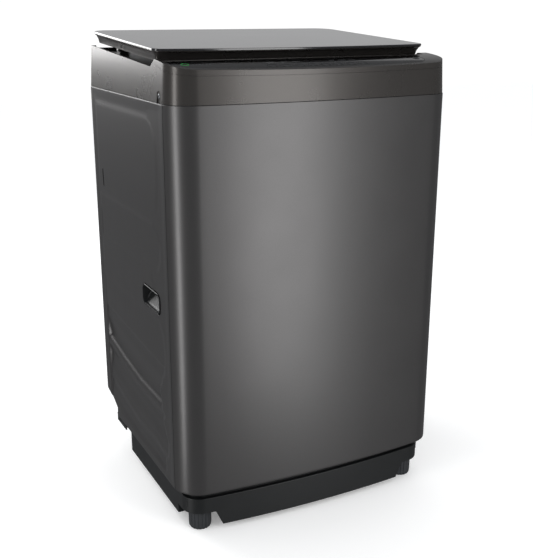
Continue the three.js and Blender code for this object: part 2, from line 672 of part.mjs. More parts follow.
function washBasket() {
  const { r, bottom, top, wall } = BASKET;
  const profile = [
    [26, bottom], [r - 38, bottom], [r - 6, bottom + 34], [r, bottom + 90], [r, top],
    [r - wall, top], [r - wall, bottom + 90], [r - 6 - wall, bottom + 35],
    [r - 38 - wall / 2, bottom + wall], [26, bottom + wall],
  ];
  addPart('wash_basket', turned(profile, 28), finishes.stainless());

  const ring = turned([
    [r - 16, top + GAP], [r + 5, top + GAP], [r + 5, top + 30],
    [r - 12, top + 41], [r - 25, top + 34], [r - 26, top + 20],
  ], 28);
  addPart('balance_ring', ring, finishes.blackPlastic());
}

function pulsator() {
  const z = BASKET.bottom + BASKET.wall + 3;
  const disc = turned([
    [0, z], [168, z + 12], [178, z + 22], [168, z + 18], [60, z + 12], [34, z + 34], [0, z + 38],
  ], 30);
  const vane = prismX([
    [30, z + 8], [150, z + 14], [164, z + 26], [150, z + 34], [80, z + 26], [30, z + 36],
  ], -7, 7);
  const vanes = [];
  for (let i = 0; i < 6; i += 1) vanes.push(vane.rotate([0, 0, i * 60]));
  addPart('pulsator', add(disc, ...vanes), finishes.greyPlastic());
}

function lintFilter() {
  const [x0, x1] = [-225, -209];
  const body = box([x0, x1], [-48, 48], [470, 640]);
  const mesh = box([x0 + 2.5, x1 + 3], [-40, 40], [486, 620]);
  const pocket = box([x0 + 2.5, x1 - 2.5], [-44, 44], [474, 636]);
  const bars = [-24, 0, 24].map((y) => box([x1 - 2.6, x1], [y - 1.5, y + 1.5], [484, 622]));
  addPart('lint_filter', add(cut(body, pocket, mesh), ...bars), finishes.greyPlastic());
}

// ---- suspension ----
function suspension() {
  const rod = add(
    cylinder(ROD.r, 212, BRACKET_Z + 8, [0, 0], 10),
    cylinder(14, 208, 213, [0, 0], 12),
    cylinder(13, BRACKET_Z + 3.3, BRACKET_Z + 12, [0, 0], 12),
  );
  const cup = turned([[6.5, 249.7], [20, 249.7], [20, 196], [17, 196], [17, 246], [6.5, 246]], 16);
  const corners = { front_left: [-1, -1], front_right: [1, -1], rear_left: [-1, 1], rear_right: [1, 1] };
  for (const [word, [sx, sy]] of Object.entries(corners)) {
    const place = [sx * ROD.x, sy * ROD.y, 0];
    addPart(`suspension_rod_${word}`, rod, finishes.steel(), place);
    addPart(`suspension_cup_${word}`, cup, finishes.greyPlastic(), place);
  }
}

// ---- drive ----
function beltLine(grow) {
  const reach = Math.hypot(MOTOR.x, MOTOR.y);
  const turn = Math.atan2(MOTOR.y, MOTOR.x);
  const lean = Math.acos((PULLEY_R - MOTOR_PULLEY_R) / reach);
  return [
    ...arc(0, 0, PULLEY_R + grow, turn + lean, turn + 2 * Math.PI - lean, 22),
    ...arc(MOTOR.x, MOTOR.y, MOTOR_PULLEY_R + grow, turn - lean, turn + lean, 6),
  ];
}

function groovedPulley(r, rimZ, boreR, segments) {
  const [z0, z1] = rimZ;
  return turned([
    [boreR, z0], [r + 6, z0], [r + 6, BELT_Z[0] - GAP], [r - GAP, BELT_Z[0] - GAP],
    [r - GAP, BELT_Z[1] + GAP], [r + 6, BELT_Z[1] + GAP], [r + 6, z1], [boreR, z1],
  ], segments);
}

function drive() {
  const at = [MOTOR.x, MOTOR.y];
  const plate = add(
    cylinder(76, 187, 190, [0, 0], 24),
    cylinder(60, 187, 190, at, 24),
    prism(beltLine(-8), 187, 190),
  );
  addPart('drive_frame', cut(plate, cylinder(31.5, 180, 195, [0, 0], 20)), finishes.steel());

  const gearbox = turned([
    [8.6, 146], [30, 146], [30, 150], [62, 150], [66, 156],
    [66, 180], [62, 186.6], [31, 186.6], [31, 212], [8.6, 212],
  ], 20);
  addPart('gearbox_case', gearbox, finishes.castAluminium());

  addPart('drive_shaft', cylinder(8, 116, 218.9, [0, 0], 20), finishes.steel());
  addPart('drive_pulley', groovedPulley(PULLEY_R, [117, 135], 8.4, 28), finishes.castAluminium());

  const motor = add(
    cylinder(MOTOR.r, 150, 186.6, at, 24),
    cylinder(MOTOR.r - 12, 143, 151, at, 24),
  );
  addPart('motor', cut(motor, cylinder(5.6, 130, 165, at, 12)), finishes.steel());
  const small = add(groovedPulley(MOTOR_PULLEY_R, [117, 135], 0, 16), cylinder(5, 134, 160, [0, 0], 16));
  addPart('motor_pulley', small.translate([...at, 0]), finishes.castAluminium());

  const belt = cut(prism(beltLine(BELT_T), ...BELT_Z), prism(beltLine(1.2), 110, 140));
  addPart('drive_belt', belt, finishes.rubber());

  const valve = add(
    cylinder(24, 154, 190.1, [150, 96], 24),
    cylinderY(12, 96, 140, [150, 168], 20),
  );
  addPart('drain_valve', valve, finishes.blackPlastic());
}

cabinet();
rearPanel();
plinth();
feet();
topCover();
coverScrews();
controlPanel();
lid();
hinges();
handleCups();
inletValves();
drainOutlet();
detergentDrawer();
outerTub();
washBasket();
pulsator();
lintFilter();
suspension();
drive();

export default machine;
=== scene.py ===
import math
import random

import bmesh
import bpy
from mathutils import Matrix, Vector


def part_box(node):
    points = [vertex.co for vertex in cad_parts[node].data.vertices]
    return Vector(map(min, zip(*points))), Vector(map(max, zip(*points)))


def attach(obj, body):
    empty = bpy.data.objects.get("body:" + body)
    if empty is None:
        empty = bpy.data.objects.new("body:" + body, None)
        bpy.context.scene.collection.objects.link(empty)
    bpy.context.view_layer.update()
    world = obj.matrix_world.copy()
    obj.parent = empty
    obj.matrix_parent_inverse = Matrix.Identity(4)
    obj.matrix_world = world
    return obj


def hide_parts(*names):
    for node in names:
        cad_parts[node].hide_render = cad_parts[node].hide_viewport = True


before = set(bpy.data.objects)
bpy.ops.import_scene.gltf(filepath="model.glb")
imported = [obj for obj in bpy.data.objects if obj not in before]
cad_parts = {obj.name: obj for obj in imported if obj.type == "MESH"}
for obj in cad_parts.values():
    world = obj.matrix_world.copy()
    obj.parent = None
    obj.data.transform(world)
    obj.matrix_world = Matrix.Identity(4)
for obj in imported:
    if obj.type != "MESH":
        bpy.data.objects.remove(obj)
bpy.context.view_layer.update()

MM = 0.001


def box_mm(node):
    low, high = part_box(node)
    return [c / MM for c in low], [c / MM for c in high]


# ---- sizes in mm, taken from the frame where a node carries them ----
CABINET_LOW, CABINET_HIGH = box_mm("cabinet")
LID_HIGH = box_mm("lid_glass")[1]
GLASS_HIGH = box_mm("control_panel_glass")[1]
HALF_W = CABINET_HIGH[0]
FRONT_Y, REAR_Y = CABINET_LOW[1], CABINET_HIGH[1]
CABINET_BOTTOM, CABINET_TOP = CABINET_LOW[2], CABINET_HIGH[2]
COVER_BOTTOM = CABINET_TOP + 0.3  # the cover's own box also holds its throat, which hangs lower
BOW_R = 2500
CORNER_R = 58.8
SHEET = 1.2
COVER_WALL = 3
COVER_DRAFT = 0.0524
NOTCH_LOW, NOTCH_SEAM, NOTCH_TOP = (-143, 948), (-156.3, 955.2), (-169, 962.3)
SIDE_EDGE_REAR = (252, 974)
SEAM_SLOPE = 0.18
PANEL_REAR_Y = -190
PANEL_DECK = 5
HORN_X = 283
DECK_FRONT_Z, DECK_SLOPE = 936, 0.0665
THROAT = dict(half_w=195, front=-140, rear=150, front_r=110, rear_r=110)
LID = dict(half_w=LID_HIGH[0], front=-184, rear=254, front_r=20, rear_r=38)
LID_SLOPE, LID_MID_Z = 0.0608, 990.3
HINGE_Y, HINGE_Z, HINGE_X = 240, 985, 232.5
HANDLE_Y, HANDLE_Z, HANDLE_HALF_Y, HANDLE_HALF_Z = -112.5, 483.5, 52.5, 23.5
HANDLE_HOLE = 1.5               # the hole in the sheet is wider than the cup by this much
REAR_WALL_TOP = 968.5           # the cover's rear wall, under the swing of the lid
COVER_SCREW_Y, COVER_SCREW_Z = -195, 897
KEY_COUNT, KEY_PITCH, FIRST_KEY_X, KEY_ROW_Y = 8, 28.4, -102.4, -251
KEY_HALF_X, KEY_HALF_Y, KEY_R = 10.5, 7.5, 7.2
KEY_CLEARANCE = 0.4
POWER_KEY_X, POWER_KEY_Y, POWER_KEY_R = 238, -226, 7.5
RING_LIGHT_X, RING_LIGHT_Y = -268, -228
BASKET_R, BASKET_LOW, BASKET_HIGH = 232.4, 262.0, 790.0
INLETS_X, SERVICE_Z, GLAND_X = (130, 190), 915, -220
DRAIN_X, DRAIN_Z = -262, 176
GAP = 0.3                       # clearance between parts that meet
ACROSS = (-340, 340)            # from beyond the left side to beyond the right one
LEFT_SIDE = (-330, -280)        # the plinth's left skirt and what is beyond it
FOOT_NODES = ["foot_front_left", "foot_front_right", "foot_rear_left", "foot_rear_right"]


# ---- colour and materials ----
def linear(colour):
    """An sRGB hex colour as the linear values that a shader takes."""
    parts = [int(colour[i:i + 2], 16) / 255 for i in (1, 3, 5)]
    return tuple(c / 12.92 if c <= 0.04045 else ((c + 0.055) / 1.055) ** 2.4 for c in parts) + (1.0,)


def add_node(tree, kind, values=None, links=None, **settings):
    made = tree.nodes.new("ShaderNode" + kind)
    for name, value in settings.items():
        setattr(made, name, value)
    for name, value in (values or {}).items():
        made.inputs[name].default_value = value
    for name, source in (links or {}).items():
        tree.links.new(source, made.inputs[name])
    return made


def pattern(tree, place, layer):
    """One pattern of a finish, from 0 to 1, at its real size in mm."""
    stretch = layer.get("stretch", (1, 1, 1))
    spread = add_node(tree, "Mapping", {"Scale": stretch}, {"Vector": place})
    scale = 1 / (layer["mm"] * MM)
    if layer["kind"] == "noise":
        cloud = add_node(tree, "TexNoise", {"Scale": scale, "Detail": layer.get("detail", 3.0)},
                         {"Vector": spread.outputs[0]})
        return cloud.outputs["Fac"]
    mosaic = add_node(tree, "TexVoronoi", {"Scale": scale}, {"Vector": spread.outputs[0]})
    return mosaic.outputs["Color" if layer["kind"] == "cells" else "Distance"]


def finish(name, light, dark, roughness, layers, **surface):
    """A material of two close colours, with patterns that shift its colour, its gloss and its height."""
    material = bpy.data.materials.new(name)
    material.use_nodes = True
    tree = material.node_tree
    shader = tree.nodes["Principled BSDF"]
    for socket, value in surface.items():
        shader.inputs[socket.replace("_", " ")].default_value = value
    place = add_node(tree, "TexCoord").outputs["Object"]
    height = None
    for layer in layers:
        shade = pattern(tree, place, layer)
        if layer["drives"] == "colour":
            mix = add_node(tree, "Mix", {6: linear(light), 7: linear(dark)}, {0: shade}, data_type="RGBA")
            tree.links.new(mix.outputs[2], shader.inputs["Base Color"])
        elif layer["drives"] == "gloss":
            spread = layer["by"]
            gloss = add_node(tree, "MapRange", {"To Min": roughness - spread, "To Max": roughness + spread},
                             {"Value": shade})
            tree.links.new(gloss.outputs[0], shader.inputs["Roughness"])
        else:
            links = {"Height": shade}
            if height:
                links["Normal"] = height
            relief = {"Strength": layer.get("strength", 1.0), "Distance": layer["by"] * MM}
            bump = add_node(tree, "Bump", relief, links)
            height = bump.outputs[0]
    if height:
        tree.links.new(height, shader.inputs["Normal"])
    material.diffuse_color = linear(light)
    return material


# Layers of a finish: what each drives, the size of its pattern in mm, and how far it shifts the value.
def noise(drives, mm, by=0, **more):
    return dict(kind="noise", drives=drives, mm=mm, by=by, **more)


def cells(drives, mm, by=0, **more):
    return dict(kind="cells", drives=drives, mm=mm, by=by, **more)


def dots(drives, mm, by=0, **more):
    return dict(kind="dots", drives=drives, mm=mm, by=by, **more)


MATERIALS = {
    # Powder coated sheet with aluminium flake: a soft wide sheen, a fine sparkle and a faint orange peel.
    # The flake is under 0.1 mm, and is drawn as 1.6 mm so that it shows.
    "painted_steel": finish(
        "powder_coated_steel_pearl_grey", "#5f5e5e", "#555454", 0.36,
        [noise("colour", 1.6, detail=5.0), noise("gloss", 90, 0.03), noise("height", 5, 0.012, strength=0.5)],
        Metallic=0.86, Coat_Weight=0.15, Coat_Roughness=0.2),
    # Hot dip galvanised sheet: flat crystals 9 mm across, each with its own grey and its own gloss.
    "galvanised_steel": finish(
        "hot_dip_galvanised_sheet", "#a9adaf", "#84888b", 0.42,
        [cells("colour", 9), cells("gloss", 9, 0.09), noise("height", 1.2, 0.01, strength=0.3)],
        Metallic=1.0),
    # Polypropylene moulded in a spark eroded tool: matt black grey with a fine grain.
    "plinth_plastic": finish(
        "moulded_polypropylene_graphite", "#141617", "#0f1112", 0.42,
        [noise("colour", 14), noise("gloss", 30, 0.05), noise("height", 1.1, 0.03, strength=0.6, detail=4.0)],
        IOR=1.49),
    # Moulded rubber: dull, with bloom in cloudy patches.
    "foot_rubber": finish(
        "moulded_rubber_black", "#2a2d31", "#1f2124", 0.68,
        [noise("colour", 6), noise("gloss", 9, 0.08), noise("height", 0.9, 0.04, strength=0.7)],
        IOR=1.5),
    # ABS moulding sprayed with a warm metallic lacquer: satin, flake drawn at 1.4 mm so that it shows.
    "cover_plastic": finish(
        "lacquered_abs_warm_grey", "#4a4745", "#413f3d", 0.28,
        [noise("colour", 1.4, detail=5.0), noise("gloss", 70, 0.03), noise("height", 6, 0.01, strength=0.5)],
        Metallic=0.7, Coat_Weight=0.2, Coat_Roughness=0.15),
    # Acrylic with black printed behind it: deep black and mirror clear, with the faintest waviness.
    "panel_glass": finish(
        "back_printed_acrylic_black", "#060607", "#0a0a0b", 0.06,
        [noise("colour", 60), noise("gloss", 40, 0.02), noise("height", 60, 0.02, strength=0.3)],
        IOR=1.49),
    # Toughened float glass printed black underneath: a clear sheet of reflection over grey black.
    "lid_glass": finish(
        "toughened_glass_black_print", "#202022", "#1a1a1c", 0.1,
        [noise("colour", 80), noise("gloss", 120, 0.03), noise("height", 90, 0.03, strength=0.3)],
        IOR=1.52, Coat_Weight=0.6, Coat_Roughness=0.12),
    # Clear topped ABS key caps: glossy black with a hint of the moulding's flow.
    "key_plastic": finish(
        "polished_abs_key_black", "#1b1c1e", "#141517", 0.2,
        [noise("colour", 5), noise("gloss", 4, 0.04), noise("height", 2, 0.01, strength=0.4)],
        IOR=1.52),
    # Moulded ABS, satin black.
    "black_plastic": finish(
        "moulded_abs_satin_black", "#1c1d1e", "#141516", 0.4,
        [noise("colour", 12), noise("gloss", 24, 0.06), noise("height", 1.0, 0.025, strength=0.6)],
        IOR=1.52),
    # Cold drawn and turned steel: fine lines along the work, bright with grey patches of oil film.
    "plain_steel": finish(
        "turned_bright_steel", "#9b9ea1", "#7f8285", 0.34,
        [noise("colour", 7), noise("gloss", 3, 0.08, stretch=(1, 1, 8)),
         noise("height", 0.8, 0.012, stretch=(1, 1, 9))],
        Metallic=1.0),
    # Polypropylene moulded plain grey.
    "grey_plastic": finish(
        "moulded_polypropylene_grey", "#9a9c9d", "#8c8e8f", 0.46,
        [noise("colour", 18), noise("gloss", 20, 0.05), noise("height", 1.2, 0.025, strength=0.6)],
        IOR=1.49),
    # ABS moulded white, with a faint cream drift.
    "white_plastic": finish(
        "moulded_abs_white", "#e2e2de", "#d5d4cd", 0.4,
        [noise("colour", 22), noise("gloss", 20, 0.05), noise("height", 1.4, 0.02, strength=0.5)],
        IOR=1.52),
    # Glass filled polypropylene: pale and dull, with short fibre streaks 3 mm long.
    "tub_plastic": finish(
        "glass_filled_polypropylene", "#cfcfca", "#bdbdb6", 0.55,
        [noise("colour", 3, stretch=(1, 1, 4)), noise("gloss", 14, 0.06), noise("height", 1.6, 0.05, strength=0.7)],
        IOR=1.49),
    # Cold rolled stainless sheet: bright, with rolling lines drawn 1.5 mm wide so that they show.
    "stainless_steel": finish(
        "cold_rolled_stainless", "#c3c5c7", "#b0b2b5", 0.26,
        [noise("colour", 12, stretch=(1, 1, 9)), noise("gloss", 1.5, 0.07, stretch=(1, 1, 0.05)),
         noise("height", 0.9, 0.01, strength=0.5, stretch=(1, 1, 0.1))],
        Metallic=1.0),
    # Pressure die cast aluminium: pale, with a pebbled skin.
    "cast_aluminium": finish(
        "die_cast_aluminium", "#a7a9ab", "#8f9193", 0.48,
        [noise("colour", 10), dots("gloss", 4, 0.08), noise("height", 2.2, 0.12, strength=0.8)],
        Metallic=1.0),
}
# Screen printed ink: flat pale grey with a broken, slightly grainy edge.
PRINT_INK = finish(
    "screen_printed_ink_grey", "#4f5153", "#424446", 0.6,
    [noise("colour", 1.5), noise("gloss", 3, 0.05)], IOR=1.5)
# A light pipe of green tinted acrylic, unlit.
GREEN_RING = finish(
    "tinted_acrylic_green", "#1f8a3c", "#17702f", 0.25,
    [noise("colour", 3), noise("gloss", 4, 0.04)], IOR=1.49)
# White board under the machine, with a soft mottle; it glows a little so that it meets the backdrop.
STUDIO_FLOOR = finish("matt_white_board", "#f8f8f8", "#f4f4f4", 0.85,
                      [noise("colour", 400), noise("gloss", 200, 0.05)], IOR=1.45,
                      Emission_Color=(1, 1, 1, 1), Emission_Strength=0.2)


# ---- outlines ----
def smooth(low, high, value):
    t = min(max((value - low) / (high - low), 0.0), 1.0)
    return t * t * (3 - 2 * t)


def between(value, xs, ys, eased=False):
    """Value looked up in a table of rising xs, straight or eased between its rows."""
    if value <= xs[0]:
        return ys[0]
    for i in range(1, len(xs)):
        if value <= xs[i]:
            t = (value - xs[i - 1]) / (xs[i] - xs[i - 1])
            t = t * t * (3 - 2 * t) if eased else t
            return ys[i - 1] + (ys[i] - ys[i - 1]) * t
    return ys[-1]


def arc(cx, cy, r, start, end, steps):
    angles = [start + (end - start) * i / steps for i in range(steps + 1)]
    return [(cx + r * math.cos(a), cy + r * math.sin(a)) for a in angles]


def bowed_plan(half_w, front, rear, front_r, rear_r=0, inset=0.0, corner_steps=18, bow_steps=48):
    """Straight sides, a bowed front and round corners, drawn in by inset on every side."""
    bow_r = BOW_R - inset
    bow_y = front + BOW_R
    fr = max(front_r - inset, 2)
    fx = half_w - inset - fr
    fy = bow_y - math.sqrt((bow_r - fr) ** 2 - fx ** 2)
    lean = math.atan2(fx, bow_y - fy)
    down = 1.5 * math.pi
    points = arc(-fx, fy, fr, math.pi, down - lean, corner_steps)
    points += arc(0, bow_y, bow_r, down - lean, down + lean, bow_steps)[1:-1]
    points += arc(fx, fy, fr, down + lean, 2 * math.pi, corner_steps)
    if not rear_r:
        return [(inset - half_w, rear - inset)] + points + [(half_w - inset, rear - inset)]
    rr = max(rear_r - inset, 2)
    rx, ry = half_w - inset - rr, rear - inset - rr
    rear_left = arc(-rx, ry, rr, math.pi / 2, math.pi, corner_steps)
    return rear_left + points + arc(rx, ry, rr, 0, math.pi / 2, corner_steps)


def housing_plan(inset):
    return bowed_plan(HALF_W, FRONT_Y, REAR_Y, CORNER_R, inset=inset)


def lid_plan(inset, spread=0.0, rear=LID["rear"]):
    half_w = LID["half_w"] + spread
    return bowed_plan(half_w, LID["front"], rear, LID["front_r"], LID["rear_r"], inset, 12, 40)


def skirt_plan(inset):
    """The lid's outline for its skirt, which keeps back part of its draw-in at the sides."""
    return lid_plan(inset, spread=0.45 * max(inset - 1, 0))


def throat_plan(inset):
    return bowed_plan(inset=inset, **THROAT)


def rounded(half_x, half_y, r, steps=8, cx=0, cy=0):
    x, y = half_x - r, half_y - r
    corners = [(cx + x, cy + y), (cx - x, cy + y), (cx - x, cy - y), (cx + x, cy - y)]
    points = []
    for i, (px, py) in enumerate(corners):
        points += arc(px, py, r, i * math.pi / 2, (i + 1) * math.pi / 2, steps)
    return points


def circle(cx, cy, r, steps):
    return arc(cx, cy, r, 0, 2 * math.pi, steps)[:-1]


# ---- solids: lists of points in mm and faces ----
def level(outline, z):
    return [(x, y, z) for x, y in outline]


def upright(outline, x):
    # An outline of (y, z) stood up at one x.
    return [(x, y, z) for y, z in outline]


def stack(rings, close_ends=True, loop=False):
    """Rings of points joined one to the next, ended with flat caps or joined round into a loop."""
    count = len(rings[0])
    points = [p for ring in rings for p in ring]
    faces = []
    last = len(rings) if loop else len(rings) - 1
    for i in range(last):
        a, b = i * count, ((i + 1) % len(rings)) * count
        for j in range(count):
            k = (j + 1) % count
            faces.append((a + j, a + k, b + k, b + j))
    if close_ends and not loop:
        faces.append(tuple(reversed(range(count))))
        faces.append(tuple(range((len(rings) - 1) * count, len(rings) * count)))
    return points, faces


def loft(plan, levels, loop=False):
    return stack([level(plan(inset), z) for inset, z in levels], loop=loop)


def prism(points, z0, z1):
    return stack([level(points, z0), level(points, z1)])


def prism_x(points, x0, x1):
    return stack([upright(points, x0), upright(points, x1)])


def prism_y(points, y0, y1):
    return stack([[(x, y0, z) for x, z in points], [(x, y1, z) for x, z in points]])


def block(x, y, z):
    return prism([(x[0], y[0]), (x[1], y[0]), (x[1], y[1]), (x[0], y[1])], *z)


def turned(profile, segments, centre=(0, 0)):
    """A closed profile of (radius, z) turned about an upright axis."""
    rings = []
    for i in range(segments):
        a = 2 * math.pi * i / segments
        rings.append([(centre[0] + r * math.cos(a), centre[1] + r * math.sin(a), z) for r, z in profile])
    return stack(rings, loop=True)


def turned_y(profile, segments, centre):
    """A closed profile of (radius, y) turned about an axis along Y through (x, z)."""
    points, faces = turned(profile, segments)
    return [(centre[0] + x, z, centre[1] + y) for x, y, z in points], faces


def joined(*solids):
    points, faces = [], []
    for more_points, more_faces in solids:
        start = len(points)
        points += more_points
        faces += [tuple(i + start for i in face) for face in more_faces]
    return points, faces


def mirrored(solid):
    return [(-x, y, z) for x, y, z in solid[0]], [tuple(reversed(face)) for face in solid[1]]


def moved(solid, change):
    return [change(*p) for p in solid[0]], solid[1]


def as_object(name, solid):
    mesh = bpy.data.meshes.new(name)
    mesh.from_pydata([[c * MM for c in p] for p in solid[0]], [], solid[1])
    work = bmesh.new()
    work.from_mesh(mesh)
    bmesh.ops.remove_doubles(work, verts=work.verts, dist=0.002 * MM)
    bmesh.ops.recalc_face_normals(work, faces=work.faces)
    work.to_mesh(mesh)
    work.free()
    made = bpy.data.objects.new(name, mesh)
    bpy.context.collection.objects.link(made)
    return made


def settle(made):
    """Turns an object's modifiers into its mesh."""
    bpy.context.view_layer.update()
    depsgraph = bpy.context.evaluated_depsgraph_get()
    mesh = bpy.data.meshes.new_from_object(made.evaluated_get(depsgraph))
    made.modifiers.clear()
    made.data = mesh


def carve(made, steps):
    tools = []
    for operation, solid in steps:
        tool = as_object("tool", solid)
        step = made.modifiers.new("carve", "BOOLEAN")
        step.operation = operation
        step.object = tool
        step.solver = "EXACT"
        tools.append(tool)
    settle(made)
    for tool in tools:
        bpy.data.objects.remove(tool)


def cut(*solids):
    return [("DIFFERENCE", solid) for solid in solids]


def piece(name, solid, body, slot, replaces=(), steps=(), soft_edge=0.0, sharp=32, material=None):
    """One visible piece: made, carved, its edges eased by soft_edge mm, finished, and put on its body."""
    made = as_object(name, solid)
    if steps:
        carve(made, steps)
    if soft_edge:
        ease = made.modifiers.new("ease", "BEVEL")
        ease.width = soft_edge * MM
        ease.segments = 2
        ease.limit_method = "ANGLE"
        ease.angle_limit = math.radians(sharp)
        ease.use_clamp_overlap = True
        settle(made)
    made.data.materials.clear()
    made.data.materials.append(material or MATERIALS[slot])
    for face in made.data.polygons:
        face.use_smooth = True
    made.data.set_sharp_from_angle(angle=math.radians(sharp))
    if soft_edge:
        even = made.modifiers.new("even", "WEIGHTED_NORMAL")
        even.keep_sharp = True
        settle(made)
    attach(made, body)
    if replaces:
        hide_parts(*replaces)
    return made


# ---- camera, light and floor ----
CAMERA = dict(place=(-0.8617, -1.7444, 1.0457), tilt=73.07, turn=-26.55, lens=56.68)
# Each soft box: its azimuth from the front, then metres, and its power in watts.
SOFT_BOXES = {
    "corner_box": dict(azimuth=-77, distance=2.4, height=0.45, size=(0.5, 2.8), power=20,
                       aim=(-0.1, -0.2, 0.4)),
    "front_box": dict(azimuth=19, distance=2.8, height=0.75, size=(0.8, 3.4), power=34,
                      aim=(0, -0.2, 0.5)),
    "rear_card": dict(azimuth=153.5, distance=3.2, height=1.65, size=(3.4, 1.3), power=4.2,
                      aim=(0, 0, 1.0)),
    "side_card": dict(azimuth=-152, distance=2.6, height=1.55, size=(1.4, 1.4), power=30,
                      aim=(-0.3, 0, 0.5)),
}


def camera():
    data = bpy.data.cameras.new("camera")
    data.sensor_width = 36
    data.lens = CAMERA["lens"]
    made = bpy.data.objects.new("camera", data)
    bpy.context.collection.objects.link(made)
    made.location = CAMERA["place"]
    made.rotation_euler = (math.radians(CAMERA["tilt"]), 0, math.radians(CAMERA["turn"]))
    data.clip_end = 60
    bpy.context.scene.camera = made


def soft_box(name, azimuth, distance, height, size, power, aim):
    """A soft box that stands at an azimuth from the front, and faces the machine."""
    data = bpy.data.lights.new(name, "AREA")
    data.shape = "RECTANGLE"
    data.size, data.size_y = size
    data.energy = power
    made = bpy.data.objects.new(name, data)
    bpy.context.collection.objects.link(made)
    a = math.radians(azimuth)
    made.location = (distance * math.sin(a), -distance * math.cos(a), height)
    reach = [aim[i] - made.location[i] for i in range(3)]
    made.rotation_euler = (math.atan2(math.hypot(reach[0], reach[1]), -reach[2]), 0,
                           math.atan2(-reach[0], reach[1]))
    made.visible_camera = False


def studio():
    """A white backdrop, an even fill, and a dim room for what reflects between the soft boxes."""
    world = bpy.data.worlds.new("studio")
    bpy.context.scene.world = world
    world.use_nodes = True
    tree = world.node_tree
    fill = tree.nodes["Background"]
    fill.inputs["Strength"].default_value = 1.0
    fill.inputs["Color"].default_value = linear("#f6f7f8")
    path = add_node(tree, "LightPath")
    seen = add_node(tree, "Background", {"Color": (1, 1, 1, 1), "Strength": 1.05})
    mirrored_room = add_node(tree, "Background", {"Color": linear("#e8e9ec"), "Strength": 0.2})
    gloss = add_node(tree, "MixShader", None,
                     {0: path.outputs["Is Glossy Ray"], 1: fill.outputs[0], 2: mirrored_room.outputs[0]})
    mix = add_node(tree, "MixShader", None,
                   {0: path.outputs["Is Camera Ray"], 1: gloss.outputs[0], 2: seen.outputs[0]})
    tree.links.new(mix.outputs[0], tree.nodes["World Output"].inputs["Surface"])
    for name, setting in SOFT_BOXES.items():
        soft_box(name, **setting)
    bpy.context.scene.view_settings.view_transform = "Standard"
    floor = as_object("floor", block((-9000, 9000), (-9000, 9000), (-30, -0.01)))
    floor.data.materials.append(STUDIO_FLOOR)
    floor.visible_glossy = False
    floor.visible_shadow = False


# ---- cabinet ----
# How far the side is pressed in at each height, for the part above the lower fold.
UPPER_PRESS = [(505, 0.5), (538, 0.5), (557, 1.8), (592, 1.7), (628, 0.5), (641, 0.1), (653, 1.0),
               (664, 0.9), (700, 0.2), (846, 0.2), (860, 1.0), (884, 0.0)]
# Where the pressed fields end towards the front, by height.
FIELD_FRONT = [(99, -165), (140, -165), (158, -181), (186, -184), (209, -166), (228, -155), (244, -168),
               (255, -152), (270, -150), (294, -140), (318, -157), (340, -174), (369, -183), (393, -182),
               (420, -177), (443, -160), (460, -150), (500, -140), (532, -121), (545, -125), (556, -160),
               (580, -174), (615, -177), (632, -165), (644, -143), (655, -130), (668, -160), (731, -172),
               (789, -173), (817, -169), (838, -150), (850, -130), (884, -130)]


def pressed(y, z):
    """Depth of the pressing in the cabinet side, in mm."""
    fold = between(y, [-147, 105, 217], [352, 365, 373])
    ridge = between(y, [-158, 0, 120, 218], [256, 256, 269, 285])
    groove = between(y, [-148, -106, 4, 125, 220], [228, 226, 231, 238, 252])
    bead = between(y, [-141, -100, 13, 134, 226], [158, 166, 162, 179, 195])
    under = bead - 19
    rows = [(99, 0.4), (112, 1.0), (under - 16, 4.6), (under, 5.4), (bead, 3.9), (bead + 11, 4.5),
            (groove - 14, 7.0), (groove + 3, 7.8), (ridge - 5, 2.4), (ridge + 1, 2.4), (ridge + 15, 9.4),
            (fold - 20, 3.7), (fold - 3, 3.5), (fold + 6, 1.8), (436, 1.5), (460, 0.8)] + UPPER_PRESS
    deep = between(z, [r[0] for r in rows], [r[1] for r in rows], eased=True)
    front = between(z, [r[0] for r in FIELD_FRONT], [r[1] for r in FIELD_FRONT], eased=True)
    field = smooth(front - 8, front + 9 + deep, y) * (1 - smooth(214, 224, y))
    along = smooth(-214, -188, y) * (1 - smooth(226, 244, y))
    rim = 0.9 * along * smooth(99, 112, z) * (1 - smooth(868, 884, z))
    return rim + (deep - rim) * field


def side_ys():
    """Positions along the side, closer together where the pressings end."""
    spots = [REAR_Y - 2]
    y = 248.0
    while y > -218:
        spots.append(y)
        y -= 2.4 if (y < -112 or y > 205) else 7.0
    return spots


def wall_columns():
    """(x, y, normal x, normal y, on the side) along the wrap, from one rear flange to the other."""
    flange = [(-292, REAR_Y, 0, 1, False), (-HALF_W + 2, REAR_Y, 0, 1, False)]
    bend = [(-HALF_W + 2 + 2 * math.cos(a), REAR_Y - 2 + 2 * math.sin(a), math.cos(a), math.sin(a), False)
            for a in (math.radians(120), math.radians(150))]
    left = flange + bend + [(-HALF_W, y, -1, 0, True) for y in side_ys()]
    fx = HALF_W - CORNER_R
    bow_y = FRONT_Y + BOW_R
    fy = bow_y - math.sqrt((BOW_R - CORNER_R) ** 2 - fx ** 2)
    lean = math.atan2(fx, bow_y - fy)
    down = 1.5 * math.pi
    front = [(-fx + CORNER_R * math.cos(a), fy + CORNER_R * math.sin(a), math.cos(a), math.sin(a), False)
             for a in [math.pi + (down - lean - math.pi) * i / 24 for i in range(25)]]
    front += [(BOW_R * math.cos(a), bow_y + BOW_R * math.sin(a), math.cos(a), math.sin(a), False)
              for a in [down - lean + lean * i / 24 for i in range(1, 25)]]
    half = left + front
    return half + [(-x, y, -nx, ny, side) for x, y, nx, ny, side in reversed(half[:-1])]


def rolled(z, low, high, r):
    """How far a rolled edge draws in near the two ends of a wall."""
    gap = min(z - low, high - z)
    return r - math.sqrt(max(r * r - (r - gap) ** 2, 0)) if gap < r else 0.0


